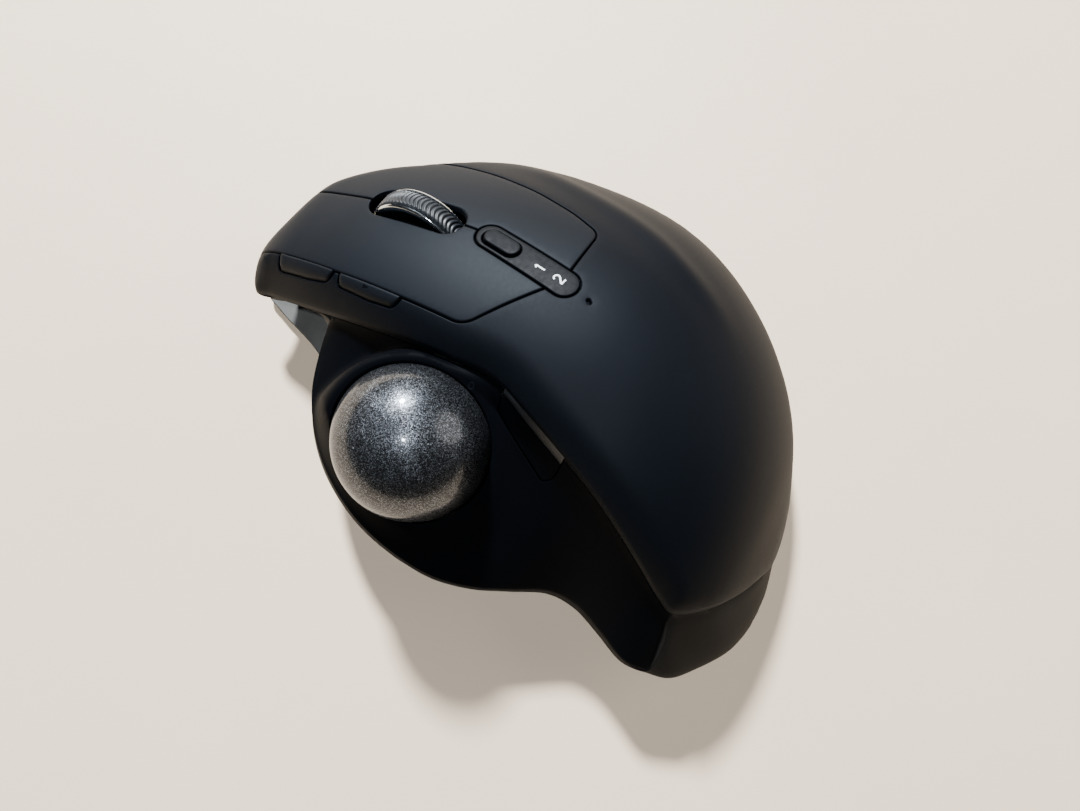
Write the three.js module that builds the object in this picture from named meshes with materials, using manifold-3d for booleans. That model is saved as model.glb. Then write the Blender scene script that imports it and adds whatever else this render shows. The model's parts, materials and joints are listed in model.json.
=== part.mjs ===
// Trackball mouse for the right hand, with a housing that tilts on a steel base plate.
// Millimetres, +X right, +Y forward, +Z up. The origin is on the desk, under the palm.
// Everything above the plate is drawn level, as it stands at 0 degrees, and then the whole
// housing group is turned by TILT about the hinge pins, which is how the object rests here.
import * as THREE from 'three';
import { mergeVertices } from 'three/addons/utils/BufferGeometryUtils.js';
import Module from 'manifold-3d';

const wasm = await Module();
wasm.setup();

// ---- driving dimensions ----
const TILT = 20; // degrees, the housing's lean to the right at rest
const HINGE_X = 4; // the two underside facets meet on this line, parallel to Y
const HINGE_Z = 3;
const PIN_Z = 3.6; // the hinge pins' axis, just above that line
const MAT_THICK = 1.0;
const PLATE_TOP = 2.6;
const WALL = 1.7; // shell thickness
const GAP = 0.35; // between neighbouring pieces
const BALL_R = 17;
const BALL_AT = new THREE.Vector3(-27.4, 15.2, 21.9);
const BALL_AXIS = new THREE.Vector3(-0.66, -0.09, 0.745).normalize(); // out of the opening
const RING_UP = 3; // opening's plane, above the ball's centre along the axis
const RING_R = 17.15;
const WHEEL_R = 12.3;
const WHEEL_AT = new THREE.Vector3(11.1, 38, 31);
const SLOT_HALF = 4.1; // half the wheel slot's width
const STRIP_FRONT = new THREE.Vector2(10.6, 22.3); // centres of the mode strip's round ends
const STRIP_REAR = new THREE.Vector2(7.0, 3.6);
const STRIP_R = 3;
const MODE_R = 1.85;
const MODE_FRONT = new THREE.Vector2(10.4, 21.8);
const MODE_REAR = new THREE.Vector2(9.5, 17.0);
const FACET_SLOPE = Math.tan(THREE.MathUtils.degToRad(TILT));
const AROUND = 60; // samples round the dome's edge
const TRAY_AROUND = 66; // samples round the chassis

// ---- smooth curves ----
// Height of a smooth curve through knots [at, value, ...] at one place.
function along(knots, at, column = 1) {
  const last = knots.length - 1;
  if (at <= knots[0][0]) return knots[0][column];
  if (at >= knots[last][0]) return knots[last][column];
  let i = 0;
  while (at > knots[i + 1][0]) i += 1;
  const slope = (k) => {
    const a = knots[Math.max(k - 1, 0)];
    const b = knots[Math.min(k + 1, last)];
    return (b[column] - a[column]) / (b[0] - a[0]);
  };
  const span = knots[i + 1][0] - knots[i][0];
  const t = (at - knots[i][0]) / span;
  const t2 = t * t;
  const t3 = t2 * t;
  return (
    (2 * t3 - 3 * t2 + 1) * knots[i][column] +
    (t3 - 2 * t2 + t) * span * slope(i) +
    (3 * t2 - 2 * t3) * knots[i + 1][column] +
    (t3 - t2) * span * slope(i + 1)
  );
}

// Even samples of a Catmull-Rom curve through points of any size, closed or open.
function curveThrough(points, count, closed) {
  const spans = closed ? points.length : points.length - 1;
  const pick = (k) => {
    if (closed) return points[(k + points.length) % points.length];
    return points[Math.min(Math.max(k, 0), points.length - 1)];
  };
  const samples = [];
  const steps = closed ? count : count - 1;
  for (let s = 0; s < count; s += 1) {
    const u = Math.min((s / steps) * spans, spans - 1e-9);
    const i = Math.floor(u);
    const t = u - i;
    const [a, b, c, d] = [pick(i - 1), pick(i), pick(i + 1), pick(i + 2)];
    samples.push(
      b.map((value, k) => {
        const pull = (c[k] - a[k]) * t;
        const bend = (2 * a[k] - 5 * b[k] + 4 * c[k] - d[k]) * t * t;
        const twist = (3 * b[k] - a[k] - 3 * c[k] + d[k]) * t * t * t;
        return value + (pull + bend + twist) / 2;
      }),
    );
  }
  return samples;
}

// ---- the palm and key surface, level ----
// [y, height of the crest, x of the crest, cross-section radius]
const SPINE = [
  [-74, 0, -2, 46],
  [-67, 11.5, -1, 46],
  [-62, 19.5, 0, 47],
  [-55, 29.5, 1.5, 48],
  [-46, 38.5, 3.5, 49],
  [-36, 45, 6, 50],
  [-24, 49.4, 8.5, 52],
  [-12, 50.8, 10.5, 53],
  [0, 50, 11.3, 54],
  [15, 47.2, 11.6, 54],
  [28, 44, 11.6, 53],
  [40, 40, 11.6, 52],
  [51, 35.3, 11.6, 51],
  [60, 30.5, 11.6, 50],
  [66, 26.8, 11.6, 50],
  [71, 22, 11.6, 50],
  [76, 16.5, 11.6, 50],
];

function domeHeight(x, y) {
  const radius = along(SPINE, y, 3);
  const across = Math.min(Math.abs(x - along(SPINE, y, 2)), 0.94 * radius);
  return along(SPINE, y, 1) - radius + Math.sqrt(radius * radius - across * across);
}

// Edge of the palm and key surface: [x, y, drop of the rolled edge, its width, skirt]
const DOME_EDGE = [
  [-11.4, 69.2, 6.0, 5, 1.7],
  [-5.6, 70.9, 1.2, 2, 2.6],
  [4, 69.2, 1.0, 2, 3],
  [13.7, 66.8, 1.0, 2, 3],
  [18.9, 62.6, 1.0, 2, 3],
  [23.4, 57.0, 1.0, 2, 3],
  [28.2, 49.4, 1.2, 2, 3],
  [34, 43.6, 2.5, 3, 4],
  [41.4, 36.6, 3.5, 4, 4.5],
  [47.4, 28.4, 4, 5, 4],
  [51.8, 18.4, 3.6, 5, 2.4],
  [53.8, 8, 3.4, 5, 2],
  [53.8, -3, 3.6, 5, 2.2],
  [51.8, -12, 4, 5, 2.5],
  [48, -21, 4, 5, 2.5],
  [42.2, -32, 4, 5, 2.5],
  [35.2, -43, 3.5, 5, 2.5],
  [25.8, -53.4, 2.5, 4, 2.5],
  [15.5, -60.4, 1.5, 3, 2.2],
  [6.5, -64.4, 0.8, 1.5, 2],
  [-3.5, -66.2, 0.6, 1, 1.7],
  [-11, -63.6, 0.5, 1, 1.7],
  [-18, -60, 0.5, 1, 1.7],
  [-24.4, -55.4, 0.6, 1, 1.7],
  [-29.6, -49.4, 1.5, 2, 1.7],
  [-29.2, -44.6, 3, 4, 1.7],
  [-27, -36.6, 3, 5, 1.7],
  [-23.1, -24, 3, 5, 1.7],
  [-19.6, -12.6, 3, 5, 1.7],
  [-16.9, -4, 3, 5, 1.7],
  [-14.5, 3.2, 3, 5, 1.7],
  [-13.6, 9, 3, 5, 1.7],
  [-13.8, 16, 3, 5, 1.7],
  [-13.8, 25, 3.5, 5, 1.7],
  [-13.7, 35, 4.5, 5, 1.7],
  [-13.2, 46, 6, 5, 1.7],
  [-12.6, 55, 7, 5, 1.7],
  [-11.8, 64, 7.6, 5, 1.7],
];
const EDGE_LINE = curveThrough(DOME_EDGE, 2 * AROUND, true);

// Distance from the dome's edge in plan, and the edge's own values there.
function nearestEdge(x, y) {
  let best = { distance: Infinity };
  EDGE_LINE.forEach((a, i) => {
    const b = EDGE_LINE[(i + 1) % EDGE_LINE.length];
    const dx = b[0] - a[0];
    const dy = b[1] - a[1];
    const t = Math.min(Math.max(((x - a[0]) * dx + (y - a[1]) * dy) / (dx * dx + dy * dy), 0), 1);
    const distance = Math.hypot(x - a[0] - t * dx, y - a[1] - t * dy);
    if (distance < best.distance) {
      const [drop, width, skirt] = [2, 3, 4].map((k) => a[k] + t * (b[k] - a[k]));
      best = { distance, drop, width, skirt };
    }
  });
  return best;
}

function topHeight(x, y) {
  const { distance, drop, width } = nearestEdge(x, y);
  const near = Math.max(1 - distance / width, 0);
  return domeHeight(x, y) - drop * near * near;
}

// Bottom of the skirt that hangs from the dome's edge beside a place.
function skirtBottom(x, y) {
  const { drop, skirt } = nearestEdge(x, y);
  return domeHeight(x, y) - drop - skirt;
}

function facetHeight(x) {
  return HINGE_Z + Math.max(x - HINGE_X, 0) * FACET_SLOPE;
}

// ---- solids ----
function geometryFrom(vertices, triangles) {
  const geometry = new THREE.BufferGeometry();
  geometry.setAttribute('position', new THREE.Float32BufferAttribute(vertices, 3));
  geometry.setIndex(triangles);
  return geometry;
}

function toSolid(geometry) {
  const bare = geometry.clone();
  bare.deleteAttribute('normal');
  bare.deleteAttribute('uv');
  const merged = mergeVertices(bare, 1e-4);
  const vertProperties = new Float32Array(merged.attributes.position.array);
  const triVerts = new Uint32Array(merged.index.array);
  if (signedVolume(vertProperties, triVerts) < 0) triVerts.reverse();
  return new wasm.Manifold(new wasm.Mesh({ numProp: 3, vertProperties, triVerts }));
}

// Negative when the faces point inwards.
function signedVolume(vertices, triangles) {
  const corner = (k) => new THREE.Vector3().fromArray(vertices, 3 * triangles[k]);
  let volume = 0;
  for (let k = 0; k < triangles.length; k += 3) {
    volume += corner(k).dot(corner(k + 1).cross(corner(k + 2))) / 6;
  }
  return volume;
}

function toGeometry(solid) {
  const mesh = solid.getMesh();
  const geometry = geometryFrom(Array.from(mesh.vertProperties), Array.from(mesh.triVerts));
  const flat = geometry.toNonIndexed();
  flat.computeVertexNormals();
  return flat;
}

// Closed solid from a pole, rings of equal count, and a second pole.
function ringSolid(firstPole, rings, lastPole) {
  const count = rings[0].length;
  const vertices = [...firstPole, ...rings.flat(2), ...lastPole];
  const triangles = [];
  const at = (ring, i) => 1 + ring * count + (i % count);
  const lastIndex = 1 + rings.length * count;
  for (let i = 0; i < count; i += 1) {
    triangles.push(0, at(0, i + 1), at(0, i));
    for (let r = 0; r + 1 < rings.length; r += 1) {
      triangles.push(at(r, i), at(r, i + 1), at(r + 1, i));
      triangles.push(at(r, i + 1), at(r + 1, i + 1), at(r + 1, i));
    }
    triangles.push(lastIndex, at(rings.length - 1, i), at(rings.length - 1, i + 1));
  }
  return toSolid(geometryFrom(vertices, triangles));
}

function prism(points, low, high) {
  const shape = new THREE.Shape(points.map(([x, y]) => new THREE.Vector2(x, y)));
  const geometry = new THREE.ExtrudeGeometry(shape, { depth: high - low, bevelEnabled: false });
  geometry.translate(0, 0, low);
  return toSolid(geometry);
}

// Cuts a solid back so that it stays a small distance off its neighbour.
function clearOf(solid, neighbour, distance = 0.3) {
  const shifts = [[0, 0, -1], [0, 0, 1], [1, 0, 0], [-1, 0, 0], [0, 1, 0], [0, -1, 0]];
  let left = solid.subtract(neighbour);
  shifts.forEach((shift) => {
    left = left.subtract(neighbour.translate(shift.map((v) => v * distance)));
  });
  return left;
}

// The biggest piece of a solid, without the slivers that a cut left.
function largest(solid) {
  return solid.decompose().reduce((best, part) => (part.volume() > best.volume() ? part : best));
}

function box(size, centre, turnY = 0) {
  const geometry = new THREE.BoxGeometry(...size);
  geometry.rotateY(THREE.MathUtils.degToRad(turnY));
  geometry.translate(...centre);
  return toSolid(geometry);
}

// Cylinder along a direction, from one point, with its length.
function rod(radius, length, start, direction, sides = 20) {
  const geometry = new THREE.CylinderGeometry(radius, radius, length, sides);
  geometry.translate(0, length / 2, 0);
  const aim = new THREE.Vector3(...direction).normalize();
  geometry.applyQuaternion(new THREE.Quaternion().setFromUnitVectors(new THREE.Vector3(0, 1, 0), aim));
  geometry.translate(...start);
  return toSolid(geometry);
}

// Outline of a slot with round ends between two points in plan.
function capsule(a, b, radius, steps = 10) {
  const heading = Math.atan2(b.y - a.y, b.x - a.x);
  const points = [];
  for (let i = 0; i <= steps; i += 1) {
    const angle = heading - Math.PI / 2 + (Math.PI * i) / steps;
    points.push([b.x + radius * Math.cos(angle), b.y + radius * Math.sin(angle)]);
  }
  for (let i = 0; i <= steps; i += 1) {
    const angle = heading + Math.PI / 2 + (Math.PI * i) / steps;
    points.push([a.x + radius * Math.cos(angle), a.y + radius * Math.sin(angle)]);
  }
  return points;
}

// Moves a closed anticlockwise outline inwards by a small distance, outwards if negative.
function inset(points, distance) {
  return points.map((p, i) => {
    const before = points[(i + points.length - 1) % points.length];
    const after = points[(i + 1) % points.length];
    const inA = new THREE.Vector2(before[1] - p[1], p[0] - before[0]).normalize();
    const inB = new THREE.Vector2(p[1] - after[1], after[0] - p[0]).normalize();
    const middle = inA.clone().add(inB).normalize();
    const reach = distance / Math.max(middle.dot(inA), 0.5);
    return [p[0] + middle.x * reach, p[1] + middle.y * reach];
  });
}

// ---- the dome shell, cut into the cover and the keys ----
const DOME_CENTRE = [9, 0];
const DOME_SHARES = [0.2, 0.45, 0.7, 0.87]; // of the way from the centre to 8 mm off the edge
const DOME_INSETS = [8, 4.5, 2.5, 1.1, 0]; // millimetres in from the edge

// A point on the line from the dome's centre to an edge point, at a distance from the centre.
function towardsEdge(edgePoint, distance) {
  const dx = edgePoint[0] - DOME_CENTRE[0];
  const dy = edgePoint[1] - DOME_CENTRE[1];
  const length = Math.hypot(dx, dy);
  const share = distance(length) / length;
  return [DOME_CENTRE[0] + dx * share, DOME_CENTRE[1] + dy * share];
}

// Rings of the palm surface from the middle outwards, all dropped by one amount.
function domeRings(edge, drop) {
  const distances = [
    ...DOME_SHARES.map((share) => (length) => (length - DOME_INSETS[0]) * share),
    ...DOME_INSETS.map((inwards) => (length) => length - inwards),
  ];
  return distances.map((distance) =>
    edge.map((edgePoint) => {
      const [x, y] = towardsEdge(edgePoint, distance);
      return [x, y, topHeight(x, y) - drop];
    }),
  );
}

function domeMiddle(drop) {
  return [...DOME_CENTRE, topHeight(...DOME_CENTRE) - drop];
}

function domeShell() {
  const edge = curveThrough(DOME_EDGE, AROUND, true);
  const foot = ([x, y, , , skirt]) => topHeight(x, y) - skirt;
  const rim = edge.map((e) => [e[0], e[1], foot(e)]);
  const innerRim = edge.map((e) => [...towardsEdge(e, (length) => length - WALL), foot(e)]);
  const inner = domeRings(edge, WALL).slice(0, -2).reverse();
  const rings = [...domeRings(edge, 0), rim, innerRim, ...inner];
  return ringSolid(domeMiddle(0), rings, domeMiddle(WALL));
}

// Everything below the middle of the shell's thickness, to trim what hangs from it.
function domeCore() {
  const drop = 0.5 * WALL;
  const rings = domeRings(curveThrough(DOME_EDGE, AROUND, true), drop).slice(0, -1);
  const low = rings[rings.length - 1].map(([x, y]) => [x, y, -20]);
  return ringSolid(domeMiddle(drop), [...rings, low], [...DOME_CENTRE, -20]);
}

// Both keys together, then the seam between them: plan outlines, anticlockwise.
const KEY_FIELD = [
  [-5.9, 80],
  [-6.6, 66],
  [-7.9, 48],
  [-8.6, 31],
  [-8.9, 20.5],
  [-8.6, 17.6],
  [-6.6, 15],
  [-2, 11.4],
  [5, 6],
  [9, 4.2],
  [18.6, 3.9],
  [21.6, 4],
  [23.8, 5.6],
  [26.1, 11],
  [29, 21.5],
  [30.2, 31.6],
  [30.2, 39],
  [29, 47],
  [27, 53],
  [34, 60],
  [24, 80],
];
const SEAM_X = 11.1;

// The half of the key field on one side of the seam, which runs down the mode strip's middle.
function keyBlank(side) {
  const seam = SEAM_X + (side * GAP) / 2;
  const middle = [[STRIP_REAR.x, -20], [STRIP_REAR.x, STRIP_REAR.y], [STRIP_FRONT.x, STRIP_FRONT.y]];
  const along = [...middle, [seam, STRIP_FRONT.y + 1], [seam, 90]];
  const far = [[60 * side, 90], [60 * side, -20]];
  const outline = [...along, ...far];
  return prism(KEY_FIELD, 0, 80).intersect(prism(side < 0 ? outline : outline.reverse(), 0, 80));
}

const SLOT_FRONT = new THREE.Vector2(SEAM_X, 47.6);
const SLOT_REAR = new THREE.Vector2(SEAM_X, 32.9);

const KEY_SWITCH_X = 6.4; // key switches' distance from the seam
const KEY_SWITCH_Y = 53.4;
const KEY_TRAVEL = 1.2; // room for the keys' front edge to move down
const KEY_POST_Z = 28.7; // lower end of the post that presses the switch

function makeKey(shell, core, side) {
  const slot = prism(capsule(SLOT_REAR, SLOT_FRONT, SLOT_HALF), 0, 80);
  const strip = prism(capsule(STRIP_REAR, STRIP_FRONT, STRIP_R + GAP), 0, 80);
  const foot = [SEAM_X + side * KEY_SWITCH_X, KEY_SWITCH_Y, KEY_POST_Z];
  const post = rod(1.4, 10, foot, [0, 0, 1], 12).intersect(core);
  return shell.intersect(keyBlank(side)).subtract(slot).subtract(strip).add(post);
}

// Side buttons on the rim beside the left key: [x, y] outlines, anticlockwise.
const FORWARD_OUTLINE = [
  [-7.2, 63.2],
  [-8.4, 62.8],
  [-9.0, 61.8],
  [-9.6, 58.4],
  [-9.9, 54.2],
  [-9.8, 50.6],
  [-9.4, 49.2],
  [-8.8, 48.5],
  [-8.2, 48.3],
];
const BACK_OUTLINE = [
  [-8.4, 46.2],
  [-9.4, 45.8],
  [-10.0, 44.6],
  [-10.5, 41.2],
  [-10.8, 37.2],
  [-10.7, 33.6],
  [-10.3, 32.2],
  [-9.6, 31.4],
  [-8.95, 31.2],
];

// A solid whose top follows the palm surface, raised by lift, over a plan outline.
function domePlate(outline, lift, depth) {
  const cx = outline.reduce((sum, p) => sum + p[0], 0) / outline.length;
  const cy = outline.reduce((sum, p) => sum + p[1], 0) / outline.length;
  const ring = (share, drop) =>
    outline.map(([x, y]) => {
      const px = cx + (x - cx) * share;
      const py = cy + (y - cy) * share;
      return [px, py, topHeight(px, py) + lift - drop];
    });
  const rings = [ring(0.5, 0), ring(0.86, 0), ring(1, 0.3), ring(1, depth), ring(0.5, depth)];
  const middle = topHeight(cx, cy) + lift;
  return ringSolid([cx, cy, middle], rings, [cx, cy, middle - depth]);
}

function dense(outline, count) {
  return curveThrough(outline, count, true);
}

function makeTopCover(shell, core) {
  const keys = prism(inset(KEY_FIELD, -GAP), 0, 80);
  const strip = prism(capsule(STRIP_REAR, STRIP_FRONT, STRIP_R + GAP), 0, 80);
  const light = prism(capsule(LIGHT_FRONT, LIGHT_REAR, LIGHT_R + 0.3, 5), 0, 80);
  const buttons = [FORWARD_OUTLINE, BACK_OUTLINE].map((o) => prism(inset(o, -GAP), 0, 80));
  let cover = shell.subtract(keys).subtract(strip).subtract(light);
  buttons.forEach((b) => {
    cover = cover.subtract(b);
  });
  SCREWS.forEach(([x, y]) => {
    const post = rod(2.5, 50, aboveFacet(x, y, WALL + 0.5), facetNormal(x), 14).intersect(core);
    const pilot = rod(1.3, 8, aboveFacet(x, y, WALL), facetNormal(x), 12);
    cover = cover.add(post).subtract(pilot);
  });
  return cover;
}

// ---- mode strip, its button and the small lights ----
const LIGHT_FRONT = new THREE.Vector2(6.2, -2);
const LIGHT_REAR = new THREE.Vector2(5.2, -3.2);
const LIGHT_R = 0.4;

function makeModeStrip() {
  const plate = domePlate(capsule(STRIP_REAR, STRIP_FRONT, STRIP_R), 0.05, 2);
  return plate.subtract(prism(capsule(MODE_REAR, MODE_FRONT, MODE_R + GAP), 0, 80));
}

function makeModeButton() {
  return domePlate(capsule(MODE_REAR, MODE_FRONT, MODE_R), 0.7, 3.4);
}

function makeBatteryLight() {
  return domePlate(capsule(LIGHT_REAR, LIGHT_FRONT, LIGHT_R, 5), -0.1, 1.4);
}

// ---- thumb panel: from the cover's crease down to the lower edge ----
// [crease x, crease y, lower x, lower y, lower z, share of the fall taken at the crease]
const THUMB = [
  [-13.2, 45.6, -12.6, 46.9, 20, 0.2],
  [-13.5, 40, -19.5, 45.2, 15.5, 0.2],
  [-13.9, 33, -26.4, 42.2, 12.5, 0.25],
  [-14.1, 26, -33.2, 36.8, 10.2, 0.3],
  [-14.1, 20, -39.4, 28.8, 8.6, 0.3],
  [-14.1, 14, -44.0, 18.6, 7.6, 0.25],
  [-13.9, 9, -46.0, 8, 7.2, 0.22],
  [-14.8, 3.2, -45.9, -2, 7, 0.2],
  [-17.2, -4, -43.4, -10.6, 7, 0.2],
  [-19.9, -12.6, -39.4, -18.2, 7.2, 0.15],
  [-22.6, -21, -35.4, -25.6, 8, 0.1],
  [-25.4, -30, -35.0, -32.6, 8.4, 0.05],
  [-28.0, -38.6, -37.2, -39.6, 8, 0.05],
  [-29.6, -45, -39.6, -46.4, 7.4, 0.05],
  [-29.6, -48.6, -38.8, -52.0, 7, 0.05],
];
const COLLAR = 9; // width over which the thumb wall rises to the ball's opening

function openingHeight(x, y) {
  const at = BALL_AT.clone().addScaledVector(BALL_AXIS, RING_UP);
  return at.z - (BALL_AXIS.x * (x - at.x) + BALL_AXIS.y * (y - at.y)) / BALL_AXIS.z;
}

function smooth(t) {
  const k = Math.min(Math.max(t, 0), 1);
  return k * k * (3 - 2 * k);
}

function thumbPoint(row, u) {
  const [cx, cy, lx, ly, lz, share] = row;
  const high = skirtBottom(cx, cy) - GAP;
  const fall = share * (1 - Math.exp(-u / 0.06)) + (1 - share) * u;
  const x = cx + (lx - cx) * u;
  const y = cy + (ly - cy) * u;
  const z = high + (lz - high) * Math.min(fall, 1);
  const off = new THREE.Vector3(x, y, openingHeight(x, y)).sub(BALL_AT);
  off.addScaledVector(BALL_AXIS, -off.dot(BALL_AXIS));
  const outside = (off.length() - RING_R) / COLLAR;
  const collar = (1 - smooth(outside - 0.1)) * smooth((1 - u) * 7);
  const rim = high + (openingHeight(x, y) - high) * smooth(u * 12);
  return new THREE.Vector3(x, y, z + (rim - z) * collar);
}

function thumbShell() {
  const rows = curveThrough(THUMB, 26, false);
  const columns = [0, 0.03, 0.08, 0.16, 0.28, 0.42, 0.56, 0.7, 0.82, 0.92, 1];
  const outer = rows.map((row) => columns.map((u) => thumbPoint(row, u)));
  const wide = outer.length;
  const tall = columns.length;
  const inner = outer.map((line, i) =>
    line.map((p, j) => {
      const down = outer[i][Math.min(j + 1, tall - 1)].clone().sub(outer[i][Math.max(j - 1, 0)]);
      const back = outer[Math.min(i + 1, wide - 1)][j].clone().sub(outer[Math.max(i - 1, 0)][j]);
      const normal = back.cross(down);
      if (normal.z < 0) normal.negate();
      if (j === tall - 1) normal.z = 0;
      return p.clone().addScaledVector(normal.normalize(), -WALL);
    }),
  );
  const vertices = [...outer.flat(), ...inner.flat()].flatMap((p) => [p.x, p.y, p.z]);
  const top = (i, j) => i * tall + j;
  const low = (i, j) => wide * tall + i * tall + j;
  const triangles = [];
  const quad = (a, b, c, d) => triangles.push(a, b, c, a, c, d);
  for (let i = 0; i + 1 < wide; i += 1) {
    for (let j = 0; j + 1 < tall; j += 1) {
      quad(top(i, j), top(i, j + 1), top(i + 1, j + 1), top(i + 1, j));
      quad(low(i, j), low(i + 1, j), low(i + 1, j + 1), low(i, j + 1));
    }
    quad(top(i, 0), top(i + 1, 0), low(i + 1, 0), low(i, 0));
    quad(top(i + 1, tall - 1), top(i, tall - 1), low(i, tall - 1), low(i + 1, tall - 1));
  }
  for (let j = 0; j + 1 < tall; j += 1) {
    quad(top(0, j + 1), top(0, j), low(0, j), low(0, j + 1));
    quad(top(wide - 1, j), top(wide - 1, j + 1), low(wide - 1, j + 1), low(wide - 1, j));
  }
  return toSolid(geometryFrom(vertices, triangles));
}

// Outline of the precision button in plan, on the thumb wall beside the crease.
const PRECISION_OUTLINE = [
  [-13.8, 3.2],
  [-16.3, 2.6],
  [-17.2, 1.6],
  [-20.5, -7.2],
  [-22.5, -11.8],
  [-22.4, -13.4],
  [-21.4, -14.0],
  [-19.2, -14.0],
  [-16.2, -5.4],
];

function makeThumbPanel(shell) {
  const foot = BALL_AT.clone().addScaledVector(BALL_AXIS, -12);
  const throat = rod(RING_R + 0.1, 40, foot.toArray(), BALL_AXIS.toArray(), 48);
  const button = prism(inset(PRECISION_OUTLINE, -GAP), 0, 80);
  return largest(shell.subtract(throat).subtract(button));
}

function makePrecisionButton(shell) {
  return shell.intersect(prism(PRECISION_OUTLINE, 0, 80));
}

// ---- bottom chassis: a tray with two flat facets ----
// Where the tray is widest under each row of DOME_EDGE up to the rear seam: [x, y, z]
const WIDE_UNDER_DOME = [
  [-9.6, 68.2, 8],
  [-5.0, 69.4, 8],
  [4, 68.2, 9],
  [13.2, 65.8, 11],
  [18.4, 61.8, 12],
  [22.9, 56.4, 13],
  [27.7, 49, 15],
  [33.6, 43.2, 17],
  [41, 36.3, 18.6],
  [47, 28.2, 19.6],
  [51.4, 18.2, 20.9],
  [53.4, 8, 21.6],
  [53.4, -3, 21.8],
  [51.4, -12, 21.4],
  [47.6, -21, 20],
  [41.8, -32, 18],
  [34.8, -43, 14.8],
  [25.6, -53.2, 10.6],
  [15.6, -61.2, 8],
  [7, -65.6, 7],
  [-2.4, -67.7, 6.8],
  [-10, -68.8, 6.6],
  [-17.5, -68.4, 6.4],
  [-25.2, -66, 6.4],
  [-32.4, -61, 6.2],
];
// The same between the rear seam and the thumb panel's rear end, with the top edge: [..., x, y, z]
const REAR_LEFT = [
  [-37.2, -57, 6, -34.6, -51.6, 13.2],
];
// Where the tray tucks in under the front left rim: [wide x, y, z, top x, y]
const NOSE_LEFT = [
  [-7.8, 54.0, 7.5, -12.8, 53],
  [-8.0, 60.0, 7.5, -12.2, 60.5],
];
const THUMB_WIDE_Z = 5.4;

// [wide x, wide y, wide z, top x, top y, top z] all the way round, clockwise.
function trayRows() {
  const front = WIDE_UNDER_DOME.map((wide, i) => {
    const [x, y] = DOME_EDGE[i];
    const pull = i < 19 ? 0.3 / Math.hypot(x - HINGE_X, y) : 0;
    const top = [HINGE_X + (x - HINGE_X) * (1 - pull), y * (1 - pull)];
    const underKeys = x > -6 && y > 49;
    return [...wide, ...top, skirtBottom(x, y) - GAP - (underKeys ? KEY_TRAVEL : 0)];
  });
  const left = [...THUMB].reverse().map(([, , x, y, z]) => [x - 0.2, y, THUMB_WIDE_Z, x, y, z - GAP]);
  const nose = NOSE_LEFT.map(([x, y, z, ex, ey]) => [x, y, z, ex, ey, skirtBottom(ex, ey) - GAP]);
  return [...front, ...REAR_LEFT, ...left, ...nose];
}
const EJECT_R = 7; // hole under the ball, for pushing it out
const SCREWS = [
  [45, 12],
  [30, -37],
  [-2, -55.5],
  [-13, -33],
];

function trayShell() {
  const line = curveThrough(trayRows(), TRAY_AROUND, true);
  const scaled = (p, share, rise) => {
    const x = HINGE_X + (p[0] - HINGE_X) * share;
    const y = p[1] * share;
    return [x, y, facetHeight(x) + rise];
  };
  const pulled = (x, y, distance) => {
    const length = Math.hypot(x - HINGE_X, y);
    const share = (length - distance) / length;
    return [HINGE_X + (x - HINGE_X) * share, y * share];
  };
  const outer = [
    line.map((p) => scaled(p, 0.5, 0)),
    line.map((p) => {
      const [x, y] = pulled(p[0], p[1], 3.5);
      return [x, y, facetHeight(x)];
    }),
    line.map((p) => {
      const [x, y] = pulled(p[0], p[1], 1.2);
      return [x, y, facetHeight(x) * 0.55 + p[2] * 0.45];
    }),
    line.map((p) => [p[0], p[1], p[2]]),
    line.map((p) => [p[3], p[4], p[5]]),
  ];
  const inner = [
    line.map((p) => [...pulled(p[3], p[4], WALL), p[5]]),
    line.map((p) => [...pulled(p[0], p[1], WALL + 0.6), Math.min(p[2] + 0.6, p[5] - 0.3)]),
    line.map((p) => {
      const [x, y] = pulled(p[0], p[1], 4.6);
      return [x, y, facetHeight(x) + WALL];
    }),
    line.map((p) => scaled(p, 0.45, WALL)),
  ];
  const low = [HINGE_X, 0, HINGE_Z];
  const high = [HINGE_X, 0, HINGE_Z + WALL];
  const rings = [...inner].reverse().concat([...outer].reverse());
  return ringSolid(high, rings, low);
}

const LUGS = [44, -44]; // y of the hinge lugs
const LUG_LONG = 5;
const LUG_R = 2.2;
const PIN_R = 0.8;
const USB_AT = [13.2, 59.6, 14.4];
const POWER_AT = [-20, -46];

function makeChassis(shell) {
  const eject = rod(EJECT_R, 10, [BALL_AT.x, BALL_AT.y, 0], [0, 0, 1], 32);
  const usb = box([8.2, 12, 3.6], [USB_AT[0], 64, USB_AT[2]]);
  const slider = box([7.6, 4.2, 6], [POWER_AT[0], POWER_AT[1], HINGE_Z]);
  let tray = shell.subtract(eject).subtract(usb).subtract(slider);
  const under = prism([[-60, -90], [70, -90], [70, 90], [-60, 90]], -20, HINGE_Z);
  const wedge = wedgeBelowFacet();
  LUGS.forEach((y) => {
    const pocket = box([2 * LUG_R + 1, LUG_LONG + 0.8, 2 * LUG_R + 1.2], [HINGE_X, y, HINGE_Z]);
    const block = box([2 * LUG_R + 4.6, LUG_LONG + 7, 5.2], [HINGE_X, y, HINGE_Z + 3.9]);
    const pin = rod(PIN_R + 0.3, LUG_LONG + 9, [HINGE_X, y - LUG_LONG / 2 - 4.5, PIN_Z], [0, 1, 0], 16);
    tray = tray.add(block.subtract(under).subtract(wedge)).subtract(pocket).subtract(pin);
  });
  SCREWS.forEach(([x, y]) => {
    tray = tray.subtract(rod(1.3, 5, aboveFacet(x, y, -0.5), facetNormal(x), 14));
    tray = tray.subtract(rod(2.5, 1.4, aboveFacet(x, y, -0.5), facetNormal(x), 18));
  });
  return tray;
}

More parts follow.
